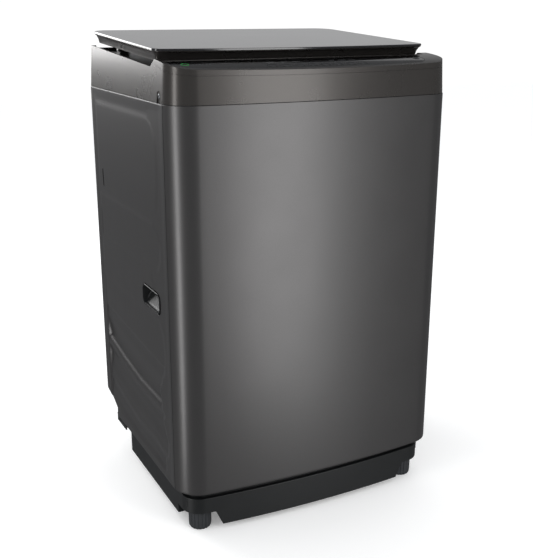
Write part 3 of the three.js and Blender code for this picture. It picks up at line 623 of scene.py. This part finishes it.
def cabinet():
    rows = [CABINET_BOTTOM + d for d in (0, 0.15, 0.5, 1.0)]
    z = CABINET_BOTTOM + 4
    while z < 470:
        rows.append(z)
        z += 3.2
    while z < CABINET_TOP - 3:
        rows.append(z)
        z += 4.5 if 525 < z < 670 or z > 830 else 9.0
    rows += [CABINET_TOP - d for d in (1.0, 0.5, 0.15, 0)]
    rings = []
    for x, y, nx, ny, side in wall_columns():
        outer, inner = [], []
        for z in rows:
            deep = pressed(y, z) if side else 0.0
            into = deep + rolled(z, CABINET_BOTTOM, CABINET_TOP, 1.0)
            outer.append((x - nx * into, y - ny * into, z))
            into = deep + SHEET
            inner.append((x - nx * into, y - ny * into, z))
        rings.append(outer + inner[::-1])
    points, faces = stack(rings, close_ends=False)
    ends = len(rows)
    for start in (0, (len(rings) - 1) * 2 * ends):
        for i in range(ends - 1):
            faces.append((start + i, start + i + 1, start + 2 * ends - 2 - i, start + 2 * ends - 1 - i))
    rear_foot = prism_x([(262, 90), (262, 146.5), (252.7, 146.5), (177, 119), (175.6, 98), (175.6, 90)],
                        *ACROSS)
    handle = prism_x(handle_outline(HANDLE_HOLE), *ACROSS)
    slot = prism_x(rounded(3, 20, 2.9, 5, 190, 686), *ACROSS)
    piece("cabinet_wrap", (points, faces), "body", "painted_steel", ["cabinet"],
          cut(rear_foot, handle, slot))
    lips = []
    for grow, depth in ((1.4, 0.4), (1.2, 1.4), (0.4, 2.6), (0.4, 6.0), (-0.6, 6.0), (-0.6, 2.4), (0.2, 1.0),
                        (0.8, 0.5)):
        lips.append(upright(handle_outline(grow), -HALF_W + depth + 0.6))
    lip = stack(lips, loop=True)
    piece("handle_hole_edges", joined(lip, mirrored(lip)), "body", "painted_steel")


def handle_outline(grow, steps=10):
    return rounded(HANDLE_HALF_Y + grow, HANDLE_HALF_Z + grow, 16 + grow, steps, HANDLE_Y, HANDLE_Z)


def handle_cups():
    """A cup whose back slants from the bottom of the rim up and in, with a rounded fillet all round it."""
    z_low, z_high = HANDLE_Z - HANDLE_HALF_Z, HANDLE_Z + HANDLE_HALF_Z

    def back(z):
        return 2.5 + 29.5 * (z - z_low) / (z_high - z_low)

    rings = [upright(handle_outline(-1.2), -HALF_W + 8),
             upright(handle_outline(-1.2), -HALF_W - 0.3),
             upright(handle_outline(-1.9), -HALF_W - 1.1),
             upright(handle_outline(-2.8), -HALF_W - 1.2),
             upright(handle_outline(-3.7), -HALF_W - 0.9),
             upright(handle_outline(-4.3), -HALF_W + 0.4)]
    for grow, off in ((-4.8, 2.4), (-5.3, 1.2), (-6.2, 0.45), (-7.6, 0.1), (-8.8, 0)):
        rings.append([(-HALF_W + max(back(z) - off, 0.9), y, z) for y, z in handle_outline(grow)])
    shell = stack(rings, close_ends=False)
    count = len(rings[0])
    shell[1].append(tuple(range((len(rings) - 1) * count, len(rings) * count)))
    outside = []
    for grow, extra in ((-8.8, 2.0), (-3.5, 2.0), (-2.4, -1.0)):
        outside.append([(-HALF_W + max(back(z) + extra, 8.0), y, z) for y, z in handle_outline(grow)])
    outer = stack(outside + [rings[0]], close_ends=False)
    outer[1].append(tuple(reversed(range(count))))
    cup = joined(shell, outer)
    piece("handle_cup_shell_left", cup, "body", "plinth_plastic", ["handle_cup_left"])
    piece("handle_cup_shell_right", mirrored(cup), "body", "plinth_plastic", ["handle_cup_right"])


# ---- plinth and feet ----
def middle_of(node):
    low, high = box_mm(node)
    return (low[0] + high[0]) / 2, (low[1] + high[1]) / 2


def plinth():
    skirt = loft(housing_plan, [(17.4, 12.5), (17, 13.2), (17, 78.4), (17.5, 79.4), (18.4, 79.8), (27, 79.8),
                                (27, 101), (3.4, 101), (3.4, 117), (5, 117), (5, 103.5), (30, 103.5),
                                (30, 76.8), (20, 76.8), (20, 12.5)], loop=True)
    front_left = prism_y([(-330, 10), (-330, 45.5), (-233.5, 45.5), (-218, 12.4), (-218, 10)], -300, -214)
    side_low = prism_x([(-260, 10), (-260, 45.5), (-187, 45.5), (-187, 24), (128, 24), (128, 10)],
                       *LEFT_SIDE)
    rear = prism_x([(127, 10), (127, 73), (168, 73), (168, 58), (262, 58), (262, 10)], *ACROSS)
    behind = block((-279, 279), (212, 262), (10, 98))
    rear_foot = prism_x([(262, 98), (262, 150), (252.5, 148.5), (176, 121), (173.5, 98)], *ACROSS)
    tools = [front_left, mirrored(front_left), side_low, mirrored(side_low), rear, rear_foot, behind]
    piece("plinth_moulding", skirt, "body", "plinth_plastic", ["base_plinth"], cut(*tools), soft_edge=0.5,
          sharp=38)
    bosses = []
    for node in FOOT_NODES:
        x, y = middle_of(node)
        bosses.append(turned([(7, 46), (22, 46), (23, 47), (23, 79), (7, 79)], 40, (x, y)))
        span = (-289, x - 6) if x < 0 else (x + 6, 289)
        for rib in (-14, 14):
            bosses.append(block(span, (y + rib - 1.5, y + rib + 1.5), (60, 77)))
    for x in ((-291, -255), (255, 291)):
        bosses.append(block(x, (-187, -184.5), (24, 76.9)))
    piece("foot_bosses", joined(*bosses), "body", "plinth_plastic", soft_edge=0.3)


def feet():
    for node in FOOT_NODES:
        x, y = middle_of(node)
        rings = []
        for inset, z in ((9, 0.05), (4.6, 0.1), (2.6, 0.9), (1.2, 3), (0.4, 6.5), (0, 11), (0, 42),
                         (0.3, 43.6), (1.4, 44.7), (3, 45), (17, 45), (18.2, 45), (18.2, 69)):
            ring = []
            for i in range(144):
                a = 2 * math.pi * i / 144
                wave = abs(math.sin(9 * a)) ** 0.55
                flute = 1.7 * (1 - wave) * (1 if inset < 4 else 0)
                r = 24.2 - inset - flute
                ring.append((x + r * math.cos(a), y + r * math.sin(a), z))
            rings.append(ring)
        piece(node + "_fluted", stack(rings), node, "foot_rubber", [node], sharp=50)


# ---- top cover ----
def cover_inset(z):
    return 1 + (z - COVER_BOTTOM) * COVER_DRAFT


def deck_z(y):
    return DECK_FRONT_Z + max(y - NOTCH_LOW[0], 0) * DECK_SLOPE


def seam_z(y):
    return NOTCH_SEAM[1] + SEAM_SLOPE * (y - NOTCH_SEAM[0])


def panel_top(y):
    d = max(NOTCH_TOP[0] - y, 0)
    return NOTCH_TOP[1] - 0.0694 * d - 0.00101 * d * d


def panel_slope(y):
    return 0.0694 + 0.00202 * (NOTCH_TOP[0] - y)


def around(points, steps=240):
    """An outline as seen from the middle of the wash opening, sampled at even angles."""
    ring = []
    total = len(points)
    for i in range(steps):
        a = 2 * math.pi * i / steps
        dx, dy = math.cos(a), math.sin(a)
        best = None
        for j in range(total):
            (x0, y0), (x1, y1) = points[j], points[(j + 1) % total]
            ex, ey = x1 - x0, y1 - y0
            scale = dx * ey - dy * ex
            if abs(scale) < 1e-9:
                continue
            t = (x0 * ey - y0 * ex) / scale
            u = (x0 * dy - y0 * dx) / scale
            if t > 0 and -1e-6 <= u <= 1 + 1e-6:
                best = t if best is None else max(best, t)
        ring.append((best * dx, best * dy))
    return ring


def cover():
    levels = [(0.5, 0), (0.1, 0.25), (0, 0.7), (0, 95.5), (COVER_WALL, 95.5), (COVER_WALL, 0)]
    rings = []
    for extra, up in levels:
        z = COVER_BOTTOM + up
        rings.append(level(housing_plan(cover_inset(z) + extra), z))
    band = stack(rings, loop=True)
    above = prism_x([(-320, seam_z(-320)), NOTCH_SEAM, (-150.5, 950), (-147.5, 948.5), NOTCH_LOW,
                     SIDE_EDGE_REAR, (300, 977), (300, 1000), (-320, 1000)], *ACROSS)
    rear_edge = block((-294, 294), (235, 270), (REAR_WALL_TOP, 1000))
    hinge_gaps = [block((x - 14, x + 14), (235, 270), (deck_z(248), 1000)) for x in (-HINGE_X, HINGE_X)]
    arches = []
    for side in (-1, 1):
        deep = HALF_W - cover_inset(COVER_BOTTOM + 12) - 1.6
        x0, x1 = (-330, -deep) if side < 0 else (deep, 330)
        arch = [(-204, 880), (-186, 880)] + arc(COVER_SCREW_Y, 898, 9, 0, math.pi, 16)
        arches.append(prism_x(arch, x0, x1))
    nipples = [prism_y(rounded(14.2, 14.2, 14.1, 8, x, SERVICE_Z), 230, 270) for x in INLETS_X]
    gland = prism_y(rounded(9, 9, 8.9, 8, GLAND_X, SERVICE_Z), 230, 270)
    tools = [above, rear_edge, *hinge_gaps, *arches, *nipples, gland]
    piece("cover_band", band, "body", "cover_plastic", ["top_cover"], cut(*tools), soft_edge=0.7, sharp=38)

    outside = [(x, max(y, -199)) for x, y in around(housing_plan(cover_inset(945) + 2.2))]
    rings = [[(x, y, deck_z(y)) for x, y in outside]]
    for grow, drop in ((14, 0), (9, 0.4), (5, 1.9), (2, 4.6), (0.5, 8.5), (0, 14)):
        ring = around(throat_plan(-grow))
        rings.append([(x, y, deck_z(y) - drop) for x, y in ring])
    for grow, z in ((0, 869), (1, 868), (3, 869)):
        rings.append(level(around(throat_plan(-grow)), z))
    for grow, drop in ((3, 14), (8, 4)):
        rings.append([(x, y, deck_z(y) - drop) for x, y in around(throat_plan(-grow))])
    rings.append([(x, y, deck_z(y) - 3) for x, y in outside])
    window = block((-105, -15), (138, 162), (888.5, 927.5))
    piece("cover_deck", stack(rings, loop=True), "body", "cover_plastic", steps=cut(window), sharp=40)

    for word, side in (("left", -1), ("right", 1)):
        face = HALF_W - cover_inset(COVER_BOTTOM + 12) - 1.6 + GAP
        head = []
        for r, out in ((0.4, 0.5), (1.6, 0.55), (1.7, 1.15), (3.2, 1.25), (4.4, 0.95), (5, 0.4), (5, 0)):
            head.append(upright(circle(COVER_SCREW_Y, COVER_SCREW_Z, r, 32), side * (face + out)))
        piece("cover_screw_head_" + word, stack(head), "body", "plain_steel", ["cover_screw_" + word])


# ---- control panel ----
def glass_plan(grow):
    margin = 13 - grow
    right = GLASS_HIGH[0] + grow
    r = 30 + grow
    cx = right - r
    front = [p for p in housing_plan(margin) if p[1] < PANEL_REAR_Y - 6 + grow and p[0] < cx]
    front_y = FRONT_Y + BOW_R - math.sqrt((BOW_R - margin) ** 2 - cx ** 2)
    rear = PANEL_REAR_Y - 6 + grow
    left = min(x for x, _ in front)
    return [(left, rear)] + front + arc(cx, front_y + r, r, 1.5 * math.pi, 2 * math.pi, 16) + [(right, rear)]


def panel_curve(drop, start, end, steps=20):
    ys = [start + (end - start) * i / steps for i in range(steps + 1)]
    return [(y, panel_top(y) - drop) for y in ys]


def on_panel(solid, x, y, out=0.0):
    """Puts a solid made about the origin down on the panel at x, y."""
    tilt = math.atan(panel_slope(y))
    c, s = math.cos(tilt), math.sin(tilt)
    lift = panel_top(y) - GAP

    def place(px, py, pz):
        pz += out
        return x + px, y + py * c - pz * s, lift + py * s + pz * c

    return moved(solid, place)


def key_places():
    xs = [FIRST_KEY_X + KEY_PITCH * i for i in range(KEY_COUNT)]
    return [(x, KEY_ROW_Y + x * x / (2 * BOW_R)) for x in xs]


def key_hole(grow):
    spare = KEY_CLEARANCE + grow
    return rounded(KEY_HALF_X + spare, KEY_HALF_Y + spare, KEY_R + spare, 8)


def control_panel():
    profile = [(-320, seam_z(-320) + GAP), (NOTCH_SEAM[0], NOTCH_SEAM[1] + GAP), NOTCH_TOP]
    profile += panel_curve(0, NOTCH_TOP[0] - 2, -300) + [(-320, panel_top(-300) - 4)]
    envelope = loft(housing_plan, [(cover_inset(z), z) for z in (925, 964)])
    well = block((-HORN_X, HORN_X), (PANEL_REAR_Y, -100), (900, 1000))
    under_deck = panel_curve(PANEL_DECK, PANEL_REAR_Y - 3, -300)
    hollow = [(-322, 880), (PANEL_REAR_Y - 3, 880)] + under_deck + [(-322, 930)]
    inside = loft(housing_plan, [(cover_inset(z) + COVER_WALL, z) for z in (900, 975)])
    hollow_tool = as_object("hollow", inside)
    carve(hollow_tool, [("INTERSECT", prism_x(hollow, *ACROSS))])
    recess_tool = as_object("recess", prism(glass_plan(GAP), 900, 1010))
    above_glass = panel_curve(2.8, -180, -300) + [(-300, 1000), (-180, 1000)]
    carve(recess_tool, [("INTERSECT", prism_x(above_glass, *ACROSS))])
    tools = [as_solid(hollow_tool), well, as_solid(recess_tool)]
    piece("panel_frame_moulding", envelope, "body", "cover_plastic", ["control_panel_frame"],
          [("INTERSECT", prism_x(profile, *ACROSS))] + cut(*tools), soft_edge=0.8, sharp=38)
    walls = [block((-HORN_X, HORN_X), (PANEL_REAR_Y - 3, PANEL_REAR_Y), (DECK_FRONT_Z + GAP, 953.5))]
    for x in ((-HORN_X - 3, -HORN_X), (HORN_X, HORN_X + 3)):
        walls.append(block(x, (PANEL_REAR_Y - 3, -160), (DECK_FRONT_Z + GAP, 957)))
    piece("panel_frame_walls", joined(*walls), "body", "cover_plastic", soft_edge=0.4)

    slab = prism_x(panel_curve(GAP, -180, -300, 30) + panel_curve(2.5, -300, -180, 30), *ACROSS)
    holes = [on_panel(prism(key_hole(0), -12, 6), x, y) for x, y in key_places()]
    power = POWER_KEY_R + KEY_CLEARANCE
    holes.append(on_panel(prism(rounded(power, power, power - 0.1, 8), -12, 6), POWER_KEY_X, POWER_KEY_Y))
    piece("panel_glass_sheet", prism(glass_plan(0), 900, 1000), "body", "panel_glass",
          ["control_panel_glass"], [("INTERSECT", slab)] + cut(*holes), soft_edge=0.25, sharp=38)

    for i, (x, y) in enumerate(key_places()):
        cap = on_panel(key_cap(KEY_HALF_X, KEY_HALF_Y, KEY_R), x, y)
        piece(f"key_cap_{i + 1}", cap, f"program_key_{i + 1}", "key_plastic", [f"program_key_{i + 1}"])
    cap = on_panel(key_cap(POWER_KEY_R, POWER_KEY_R, POWER_KEY_R - 0.1), POWER_KEY_X, POWER_KEY_Y)
    piece("power_key_cap", cap, "power_key", "key_plastic", ["power_key"])
    marks()


def as_solid(made):
    """The points in mm and faces of an object that was only a tool, which is then removed."""
    points = [tuple(c / MM for c in v.co) for v in made.data.vertices]
    faces = [tuple(f.vertices) for f in made.data.polygons]
    bpy.data.objects.remove(made)
    return points, faces


def key_cap(half_x, half_y, r):
    """A cap with a rounded rim and a shallow dish for the finger, on a short stem."""
    rings = [level(rounded(2.6, 2.6, 2.5, 8), z) for z in (-20, -4.4)]
    for inset, z in ((0, -4.4), (0, -0.2), (0.2, 0.25), (0.7, 0.5), (1.4, 0.58), (2.1, 0.42), (2.9, 0.2),
                     (4.2, 0.02), (6.0, -0.08)):
        rings.append(level(rounded(half_x - inset, half_y - inset, max(r - inset, 0.9), 8), z))
    return stack(rings)


def marks():
    """Plain printed bars and dots over the keys, and a ring light at the left: no words."""
    bars, rng = [], random.Random(7)
    for centre in (-96, -66, -40, 38, 62, 84):
        half = 6 + 4 * rng.random()
        bars.append(on_panel(prism(rounded(half, 0.8, 0.5, 3), -0.02, 0.12), centre, -226.5))
    for x, y in key_places():
        bars.append(on_panel(prism(rounded(1.6, 1.6, 1.5, 6), -0.02, 0.12), x, y + 13.5))
    for x in (-252, -246, -240, -234, -226, -220):
        bars.append(on_panel(prism(rounded(2.1, 0.9, 0.5, 3), -0.02, 0.12), x, -229))
    bars.append(on_panel(prism(rounded(5, 0.7, 0.5, 3), -0.02, 0.12), 219, -225))
    piece("panel_print", joined(*bars), "body", "panel_glass", material=PRINT_INK)
    ring = turned([(6.2, -0.1), (8.2, -0.1), (8.2, 0.15), (7.9, 0.3), (6.5, 0.3), (6.2, 0.15)], 40)
    piece("panel_ring_light", on_panel(ring, RING_LIGHT_X, RING_LIGHT_Y), "body", "panel_glass",
          material=GREEN_RING)
    rims = []
    for x, y in key_places():
        rim = [[(a, b, z) for a, b in key_hole(grow)]
               for grow, z in ((0.0, -1.0), (0.0, 0.08), (0.25, 0.2), (0.7, 0.12), (0.7, -1.0))]
        rims.append(on_panel(stack(rim, loop=True), x, y))
    piece("key_surround_rims", joined(*rims), "body", "key_plastic", material=MATERIALS["black_plastic"])


# ---- lid ----
def on_lid(solid):
    c = 1 / math.hypot(1, LID_SLOPE)
    s = LID_SLOPE * c
    return moved(solid, lambda x, y, z: (x, y * c - z * s, LID_MID_Z + y * s + z * c))


def lid():
    glass = loft(lid_plan, [(1.6, -4), (0.4, -4), (0, -3.6), (0, -0.9), (0.25, -0.35), (0.9, 0), (1.8, 0)])
    piece("lid_glass_plate", on_lid(glass), "lid", "lid_glass", ["lid_glass"])
    skirt = [(1.0, -4.3), (0.7, -4.8), (1.2, -6), (4.2, -7.4), (7.2, -8.9), (8.2, -10.0), (9.3, -11.5),
             (12.2, -14.2), (13.2, -15.6), (14, -17.5), (16.4, -22.6), (16.9, -23.6), (17.6, -24),
             (19.9, -24), (20.5, -23.4), (20.5, -10), (30, -7.4), (30, -4.3)]
    notches = [block((x - 16, x + 16), (222, 262), (965, 994.5)) for x in (-HINGE_X, HINGE_X)]
    piece("lid_skirt", on_lid(loft(skirt_plan, skirt, loop=True)), "lid", "cover_plastic", ["lid_frame"],
          cut(*notches), sharp=25)
    knuckles = []
    for side in (-1, 1):
        for a, b in ((16.5, 28), (-28, -16.5)):
            x0 = side * HINGE_X + a
            rings = []
            for inset, x in ((1.2, x0), (0.3, x0 + 0.4), (0, x0 + 1), (0, x0 + b - a - 1),
                             (0.3, x0 + b - a - 0.4), (1.2, x0 + b - a)):
                rings.append(upright(circle(HINGE_Y, HINGE_Z, 7 - inset, 32), x))
            knuckles.append(stack(rings))
    piece("lid_knuckles", joined(*knuckles), "lid", "cover_plastic")

    def tray_plan(inset):
        return lid_plan(inset + 20.9, rear=LID["rear"] - 6)

    tray = [(0, -12), (0, -22.6), (0.8, -23.5), (31, -23.6), (34, -24), (37, -25.4), (43, -29.6), (46, -31),
            (52, -31.4), (90, -31.4), (100, -30.6), (101, -28), (48.5, -28.2), (36, -21.6), (3, -20.6),
            (2.4, -12)]
    shell = loft(tray_plan, tray, loop=True)
    middle = loft(tray_plan, [(100, -30.6), (101, -28.4)])
    piece("lid_inner_tray", on_lid(joined(shell, middle)), "lid", "black_plastic", ["lid_inner_cover"],
          sharp=25)
    ribs = [block((x - 2, x + 2), (-70, 130), (-32.2, -30)) for x in (-120, -40, 40, 120)]
    piece("lid_tray_ribs", on_lid(joined(*ribs)), "lid", "black_plastic", soft_edge=0.8)


def hinges():
    for word, side in (("left", -1), ("right", 1)):
        x = side * HINGE_X
        base = deck_z(248) + GAP
        arm = prism_x([(227, base), (247.5, base), (247.4, base + 4), (247, HINGE_Z), (233.2, HINGE_Z),
                       (229, base + 5)], x - 12, x + 12)
        rings = []
        for inset, at in ((1, -12), (0, -11.2), (0, 11.2), (1, 12)):
            rings.append(upright(circle(HINGE_Y, HINGE_Z, 7 - inset, 36), x + at))
        piece("hinge_arm_" + word, joined(arm, stack(rings)), "body", "black_plastic",
              ["hinge_bracket_" + word], soft_edge=0.6, sharp=38)


# ---- tub, basket and pulsator ----
def basket():
    columns, rows = 96, 34
    low, high, radius = BASKET_LOW, BASKET_HIGH, BASKET_R
    points, faces = [], []

    def spot(column, z, deep=0.0):
        a = 2 * math.pi * column / columns
        points.append(((radius - deep) * math.cos(a), (radius - deep) * math.sin(a), z))
        return len(points) - 1

    def swell(column):
        return 2.6 * max(0.0, math.cos(math.pi * ((column % 8) - 3.5) / 4)) ** 2

    tall = (high - low) / rows
    for column in range(columns):
        for row in range(rows):
            z = low + row * tall
            holed = column % 4 != 3 and 0 < row < rows - 1
            corners = [(column, z), (column + 0.5, z), (column + 1, z), (column + 1, z + tall / 2),
                       (column + 1, z + tall), (column + 0.5, z + tall), (column, z + tall),
                       (column, z + tall / 2)]
            rim = [spot(c, h, swell(c)) for c, h in corners]
            if not holed:
                faces.append(tuple(rim))
                continue
            hole = []
            for i in range(8):
                a = math.radians(225 + 45 * i)
                c = column + 0.5 + 0.17 * math.cos(a)
                h = z + tall / 2 + 0.17 * tall * math.sin(a)
                hole.append(spot(c, h, swell(column + 0.5) + 0.35))
            for i in range(8):
                k = (i + 1) % 8
                faces.append((rim[i], rim[k], hole[k], hole[i]))
    made = as_object("wash_basket_wall", (points, faces))
    thick = made.modifiers.new("sheet", "SOLIDIFY")
    thick.thickness = 0.7 * MM
    thick.offset = 0
    settle(made)
    wall = as_solid(made)
    dish = turned([(26, 216), (150, 216), (190, 217), (212, 224), (225, 238), (231, 254), (232.8, 262),
                   (232, 262.5), (229.6, 255), (223, 240), (210, 226.5), (188, 219), (150, 217.4),
                   (26, 217.4)], 144)
    rim = turned([(230.6, 788), (232.6, 789), (232.8, 799.5), (229.5, 799.8), (229.2, 797), (231, 795)], 144)
    piece("wash_basket_sheet", joined(wall, dish, rim), "basket", "stainless_steel", ["wash_basket"],
          sharp=40)

    ring = turned([(217, 801), (229, 800.8), (237.4, 801.5), (237.8, 806), (237.8, 828), (233, 835),
                   (224, 840), (220, 840.6), (214, 839), (209, 835), (207.4, 829), (207.4, 822), (210, 812),
                   (214, 805)], 144)
    pads = []
    for i in range(24):
        a = 2 * math.pi * i / 24
        pads.append(moved(prism(rounded(3.5, 14, 3.2, 6), 0, 1.4),
                          lambda x, y, z, a=a: ((222 + x) * math.cos(a) - y * math.sin(a),
                                                (222 + x) * math.sin(a) + y * math.cos(a), 839.4 + z)))
    piece("balance_ring_moulding", joined(ring, *pads), "basket", "black_plastic", ["balance_ring"],
          sharp=40)


def pulsator():
    rings = []
    steps = 216
    radii = [0.6, 6, 14, 20, 26, 30, 34, 40, 48, 58, 70, 82, 94, 106, 118, 130, 140, 148, 156, 162, 167, 171,
             174.5, 176.8]
    for r in radii:
        ring = []
        for i in range(steps):
            a = 2 * math.pi * i / steps
            sweep = a + 0.0016 * r
            vane = max(0.0, math.cos(6 * sweep)) ** 5
            hub = 24 * (1 - smooth(14, 62, r))
            rise = 17 * vane * smooth(24, 60, r) * (1 - smooth(140, 171, r))
            bowl = 10 * smooth(60, 176, r) ** 2
            top = 229 + hub + rise + bowl - 3 * smooth(171, 177, r)
            ring.append((r * math.cos(a), r * math.sin(a), top))
        rings.append(ring)
    for r, z in ((176.6, 236), (168, 231), (60, 222), (0.6, 220.4)):
        rings.append([(r * math.cos(2 * math.pi * i / steps), r * math.sin(2 * math.pi * i / steps), z)
                      for i in range(steps)])
    piece("pulsator_moulding", stack(rings), "pulsator", "grey_plastic", ["pulsator"], sharp=45)
    cap = turned([(0.3, 253.4), (13, 252.9), (15, 251.5), (15.4, 249), (0.3, 249)], 64)
    piece("pulsator_cap", cap, "pulsator", "plain_steel", sharp=40)


def tub():
    ring = turned([(205.4, 846.2), (240, 846.2), (244.6, 826.6), (249.8, 826.6), (249.8, 842), (248, 846),
                   (243, 849), (236, 849.4), (228, 848.2), (216, 848.6), (208, 849.4), (205.2, 848.4)], 144)
    piece("tub_ring_moulding", ring, "tub", "grey_plastic", ["tub_ring"], sharp=35)


def lint_filter():
    low, high = box_mm("lint_filter")
    x0, x1 = low[0], high[0]
    y0, y1, z0, z1 = low[1], high[1], low[2], high[2]
    frame_rings = []
    for grow, x in ((-1.4, x0 + 0.2), (0, x0 + 1.8), (0, x1 - 2), (-1.2, x1 - 0.4), (-3, x1 - 0.1),
                    (-7, x1 - 0.4), (-7.6, x1 - 2), (-7.6, x1 - 5), (-4, x1 - 5), (-3, x0 + 3)):
        half_y, half_z = (y1 - y0) / 2 + grow, (z1 - z0) / 2 + grow
        outline = rounded(half_y, half_z, 12 + grow, 8, (y0 + y1) / 2, (z0 + z1) / 2)
        frame_rings.append(upright(outline, x))
    shell = stack(frame_rings)
    bars = [block((x1 - 3.6, x1 - 1.2), (y - 1, y + 1), (z0 + 8, z1 - 8)) for y in range(-36, 37, 6)]
    bars += [block((x1 - 4.4, x1 - 2.6), (y0 + 8, y1 - 8), (z - 1, z + 1)) for z in range(486, 628, 7)]
    piece("lint_filter_frame", shell, "lint_filter", "grey_plastic", ["lint_filter"], sharp=38)
    piece("lint_filter_grid", joined(*bars), "lint_filter", "grey_plastic", soft_edge=0.3)


# ---- rear ----
def rear_panel():
    y0 = REAR_Y + GAP
    columns = [-309 + 618 * i / 120 for i in range(121)]
    rows = [150.2 + 729.6 * i / 132 for i in range(133)]

    def out(x, z):
        dx = max(abs(x) - 164, 0)
        dz = max(abs(z - 520) - 248, 0)
        inside = 70 - math.hypot(dx, dz)
        bulge = 15 * smooth(0, 15, inside)
        swage = 0.0
        for at in (-96, 0, 96):
            tall = smooth(240, 262, z) * (1 - smooth(660, 690, z))
            swage += 2.2 * (smooth(-9, -4, x - at) - smooth(4, 9, x - at)) * tall
        frame_bead = 1.0 * (smooth(282, 286, abs(x)) - smooth(291, 295, abs(x)))
        return bulge - swage * smooth(10, 16, inside) * (1 if not vented(x, z) else 0) + frame_bead

    def vented(x, z):
        return 95 < abs(x) < 205 and 315 < z < 432

    front = [[(x, y0 + 1.2 + out(x, z), z) for x in columns] for z in rows]
    back = [[(x, y0 + out(x, z), z) for x in columns] for z in rows]
    rings = [f + b[::-1] for f, b in zip(front, back)]
    points, faces = stack(rings, close_ends=False)
    count = 2 * len(columns)
    for start in (0, (len(rows) - 1) * count):
        for i in range(len(columns) - 1):
            faces.append((start + i, start + i + 1, start + count - 2 - i, start + count - 1 - i))
    vents = []
    for row in range(5):
        for x in (-150, 150):
            vents.append(prism_y(rounded(45, 3.5, 3.4, 6, x, 330 + row * 22), 240, 290))
    drain = prism_y(rounded(16.8, 16.8, 16.7, 8, DRAIN_X, DRAIN_Z), 240, 290)
    piece("rear_panel_pressing", (points, faces), "body", "galvanised_steel", ["rear_panel"],
          cut(drain, *vents))
    head = [(r, y0 + out) for r, out in ((0.3, 1.2), (5, 1.2), (5, 1.9), (4.2, 2.9), (2, 3.3), (1.6, 2.2),
                                         (0.3, 2.2))]
    spots = [(x, z) for x in (-300, 300) for z in (190, 350, 520, 690, 850)]
    spots += [(x, z) for x in (-200, 0, 200) for z in (160, 872)]
    screws = [turned_y(head, 24, spot) for spot in spots]
    piece("rear_panel_screws", joined(*screws), "body", "plain_steel")


def rear_fittings():
    for node, x in zip(("inlet_valve_hot", "inlet_valve_cold"), INLETS_X):
        body = turned_y([(0.5, 200), (15, 200), (16, 201), (16, 236), (19, 236), (19, 243), (18.4, 243.5),
                         (12.2, 243.5), (12.2, 279.2), (11.6, 280), (9.6, 280), (9, 279.4), (9, 250),
                         (0.5, 250)], 64, (x, SERVICE_Z))
        thread = []
        for i in range(9):
            y = 248 + 3.1 * i
            thread.append(turned_y([(11.8, y), (12.6, y + 0.5), (13.2, y + 0.9), (13.2, y + 1.2),
                                    (12.6, y + 1.6), (11.8, y + 2.1)], 64, (x, SERVICE_Z)))
        bars = [SERVICE_Z + d for d in range(-8, 9, 2)]
        screen = [block((x - 8.6, x + 8.6), (252, 252.8), (z - 0.35, z + 0.35)) for z in bars]
        piece(node + "_body", joined(body, *thread, *screen), "body", "white_plastic", [node], sharp=38)
    profile = [(4, 240), (4, 262), (7.4, 262), (8, 261.4)]
    for y in (259, 256, 253, 250, 247):
        profile += [(8, y + 0.8), (6.8, y + 0.3), (6.8, y - 0.9), (8, y - 1.4)]
    profile += [(8, 243.5), (11.4, 243.5), (12, 242.8), (12, 238.4), (11.6, 238), (4, 238)]
    piece("cord_gland_boot", turned_y(profile, 48, (GLAND_X, SERVICE_Z)), "body", "foot_rubber",
          ["cord_gland"], sharp=38)
    spigot = [(13, 230), (13, 280), (14.6, 280), (15.6, 278.6), (16, 276), (14.8, 273), (14.8, 271.5),
              (15.8, 270), (16, 267), (14.8, 264.5), (14.8, 262), (16, 260), (16, 258.2), (23.2, 258),
              (24, 257.2), (24, 255.2), (23.4, 254.5), (16, 254.5), (16, 230)]
    piece("drain_spigot", turned_y(spigot, 56, (DRAIN_X, DRAIN_Z)), "body", "plinth_plastic",
          ["drain_outlet"], sharp=38)


def carried_over():
    """Gives the frame's own nodes that stay in view their slot's material."""
    kept = {
        "tub_plastic": ["outer_tub"],
        "galvanised_steel": ["drive_frame"],
        "cast_aluminium": ["gearbox_case", "drive_pulley", "motor_pulley"],
        "plain_steel": ["drive_shaft", "motor", "hinge_pin_left", "hinge_pin_right"],
        "foot_rubber": ["drive_belt"],
        "black_plastic": ["drain_valve"],
        "white_plastic": ["detergent_drawer_housing", "detergent_drawer"],
        "grey_plastic": ["control_board_box"],
    }
    for corner in ("front_left", "front_right", "rear_left", "rear_right"):
        kept["plain_steel"].append("suspension_rod_" + corner)
        kept["grey_plastic"].append("suspension_cup_" + corner)
    for slot, nodes in kept.items():
        for node in nodes:
            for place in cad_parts[node].material_slots:
                place.material = MATERIALS[slot]


camera()
studio()
cabinet()
handle_cups()
plinth()
feet()
cover()
control_panel()
lid()
hinges()
basket()
pulsator()
tub()
lint_filter()
rear_panel()
rear_fittings()
carried_over()
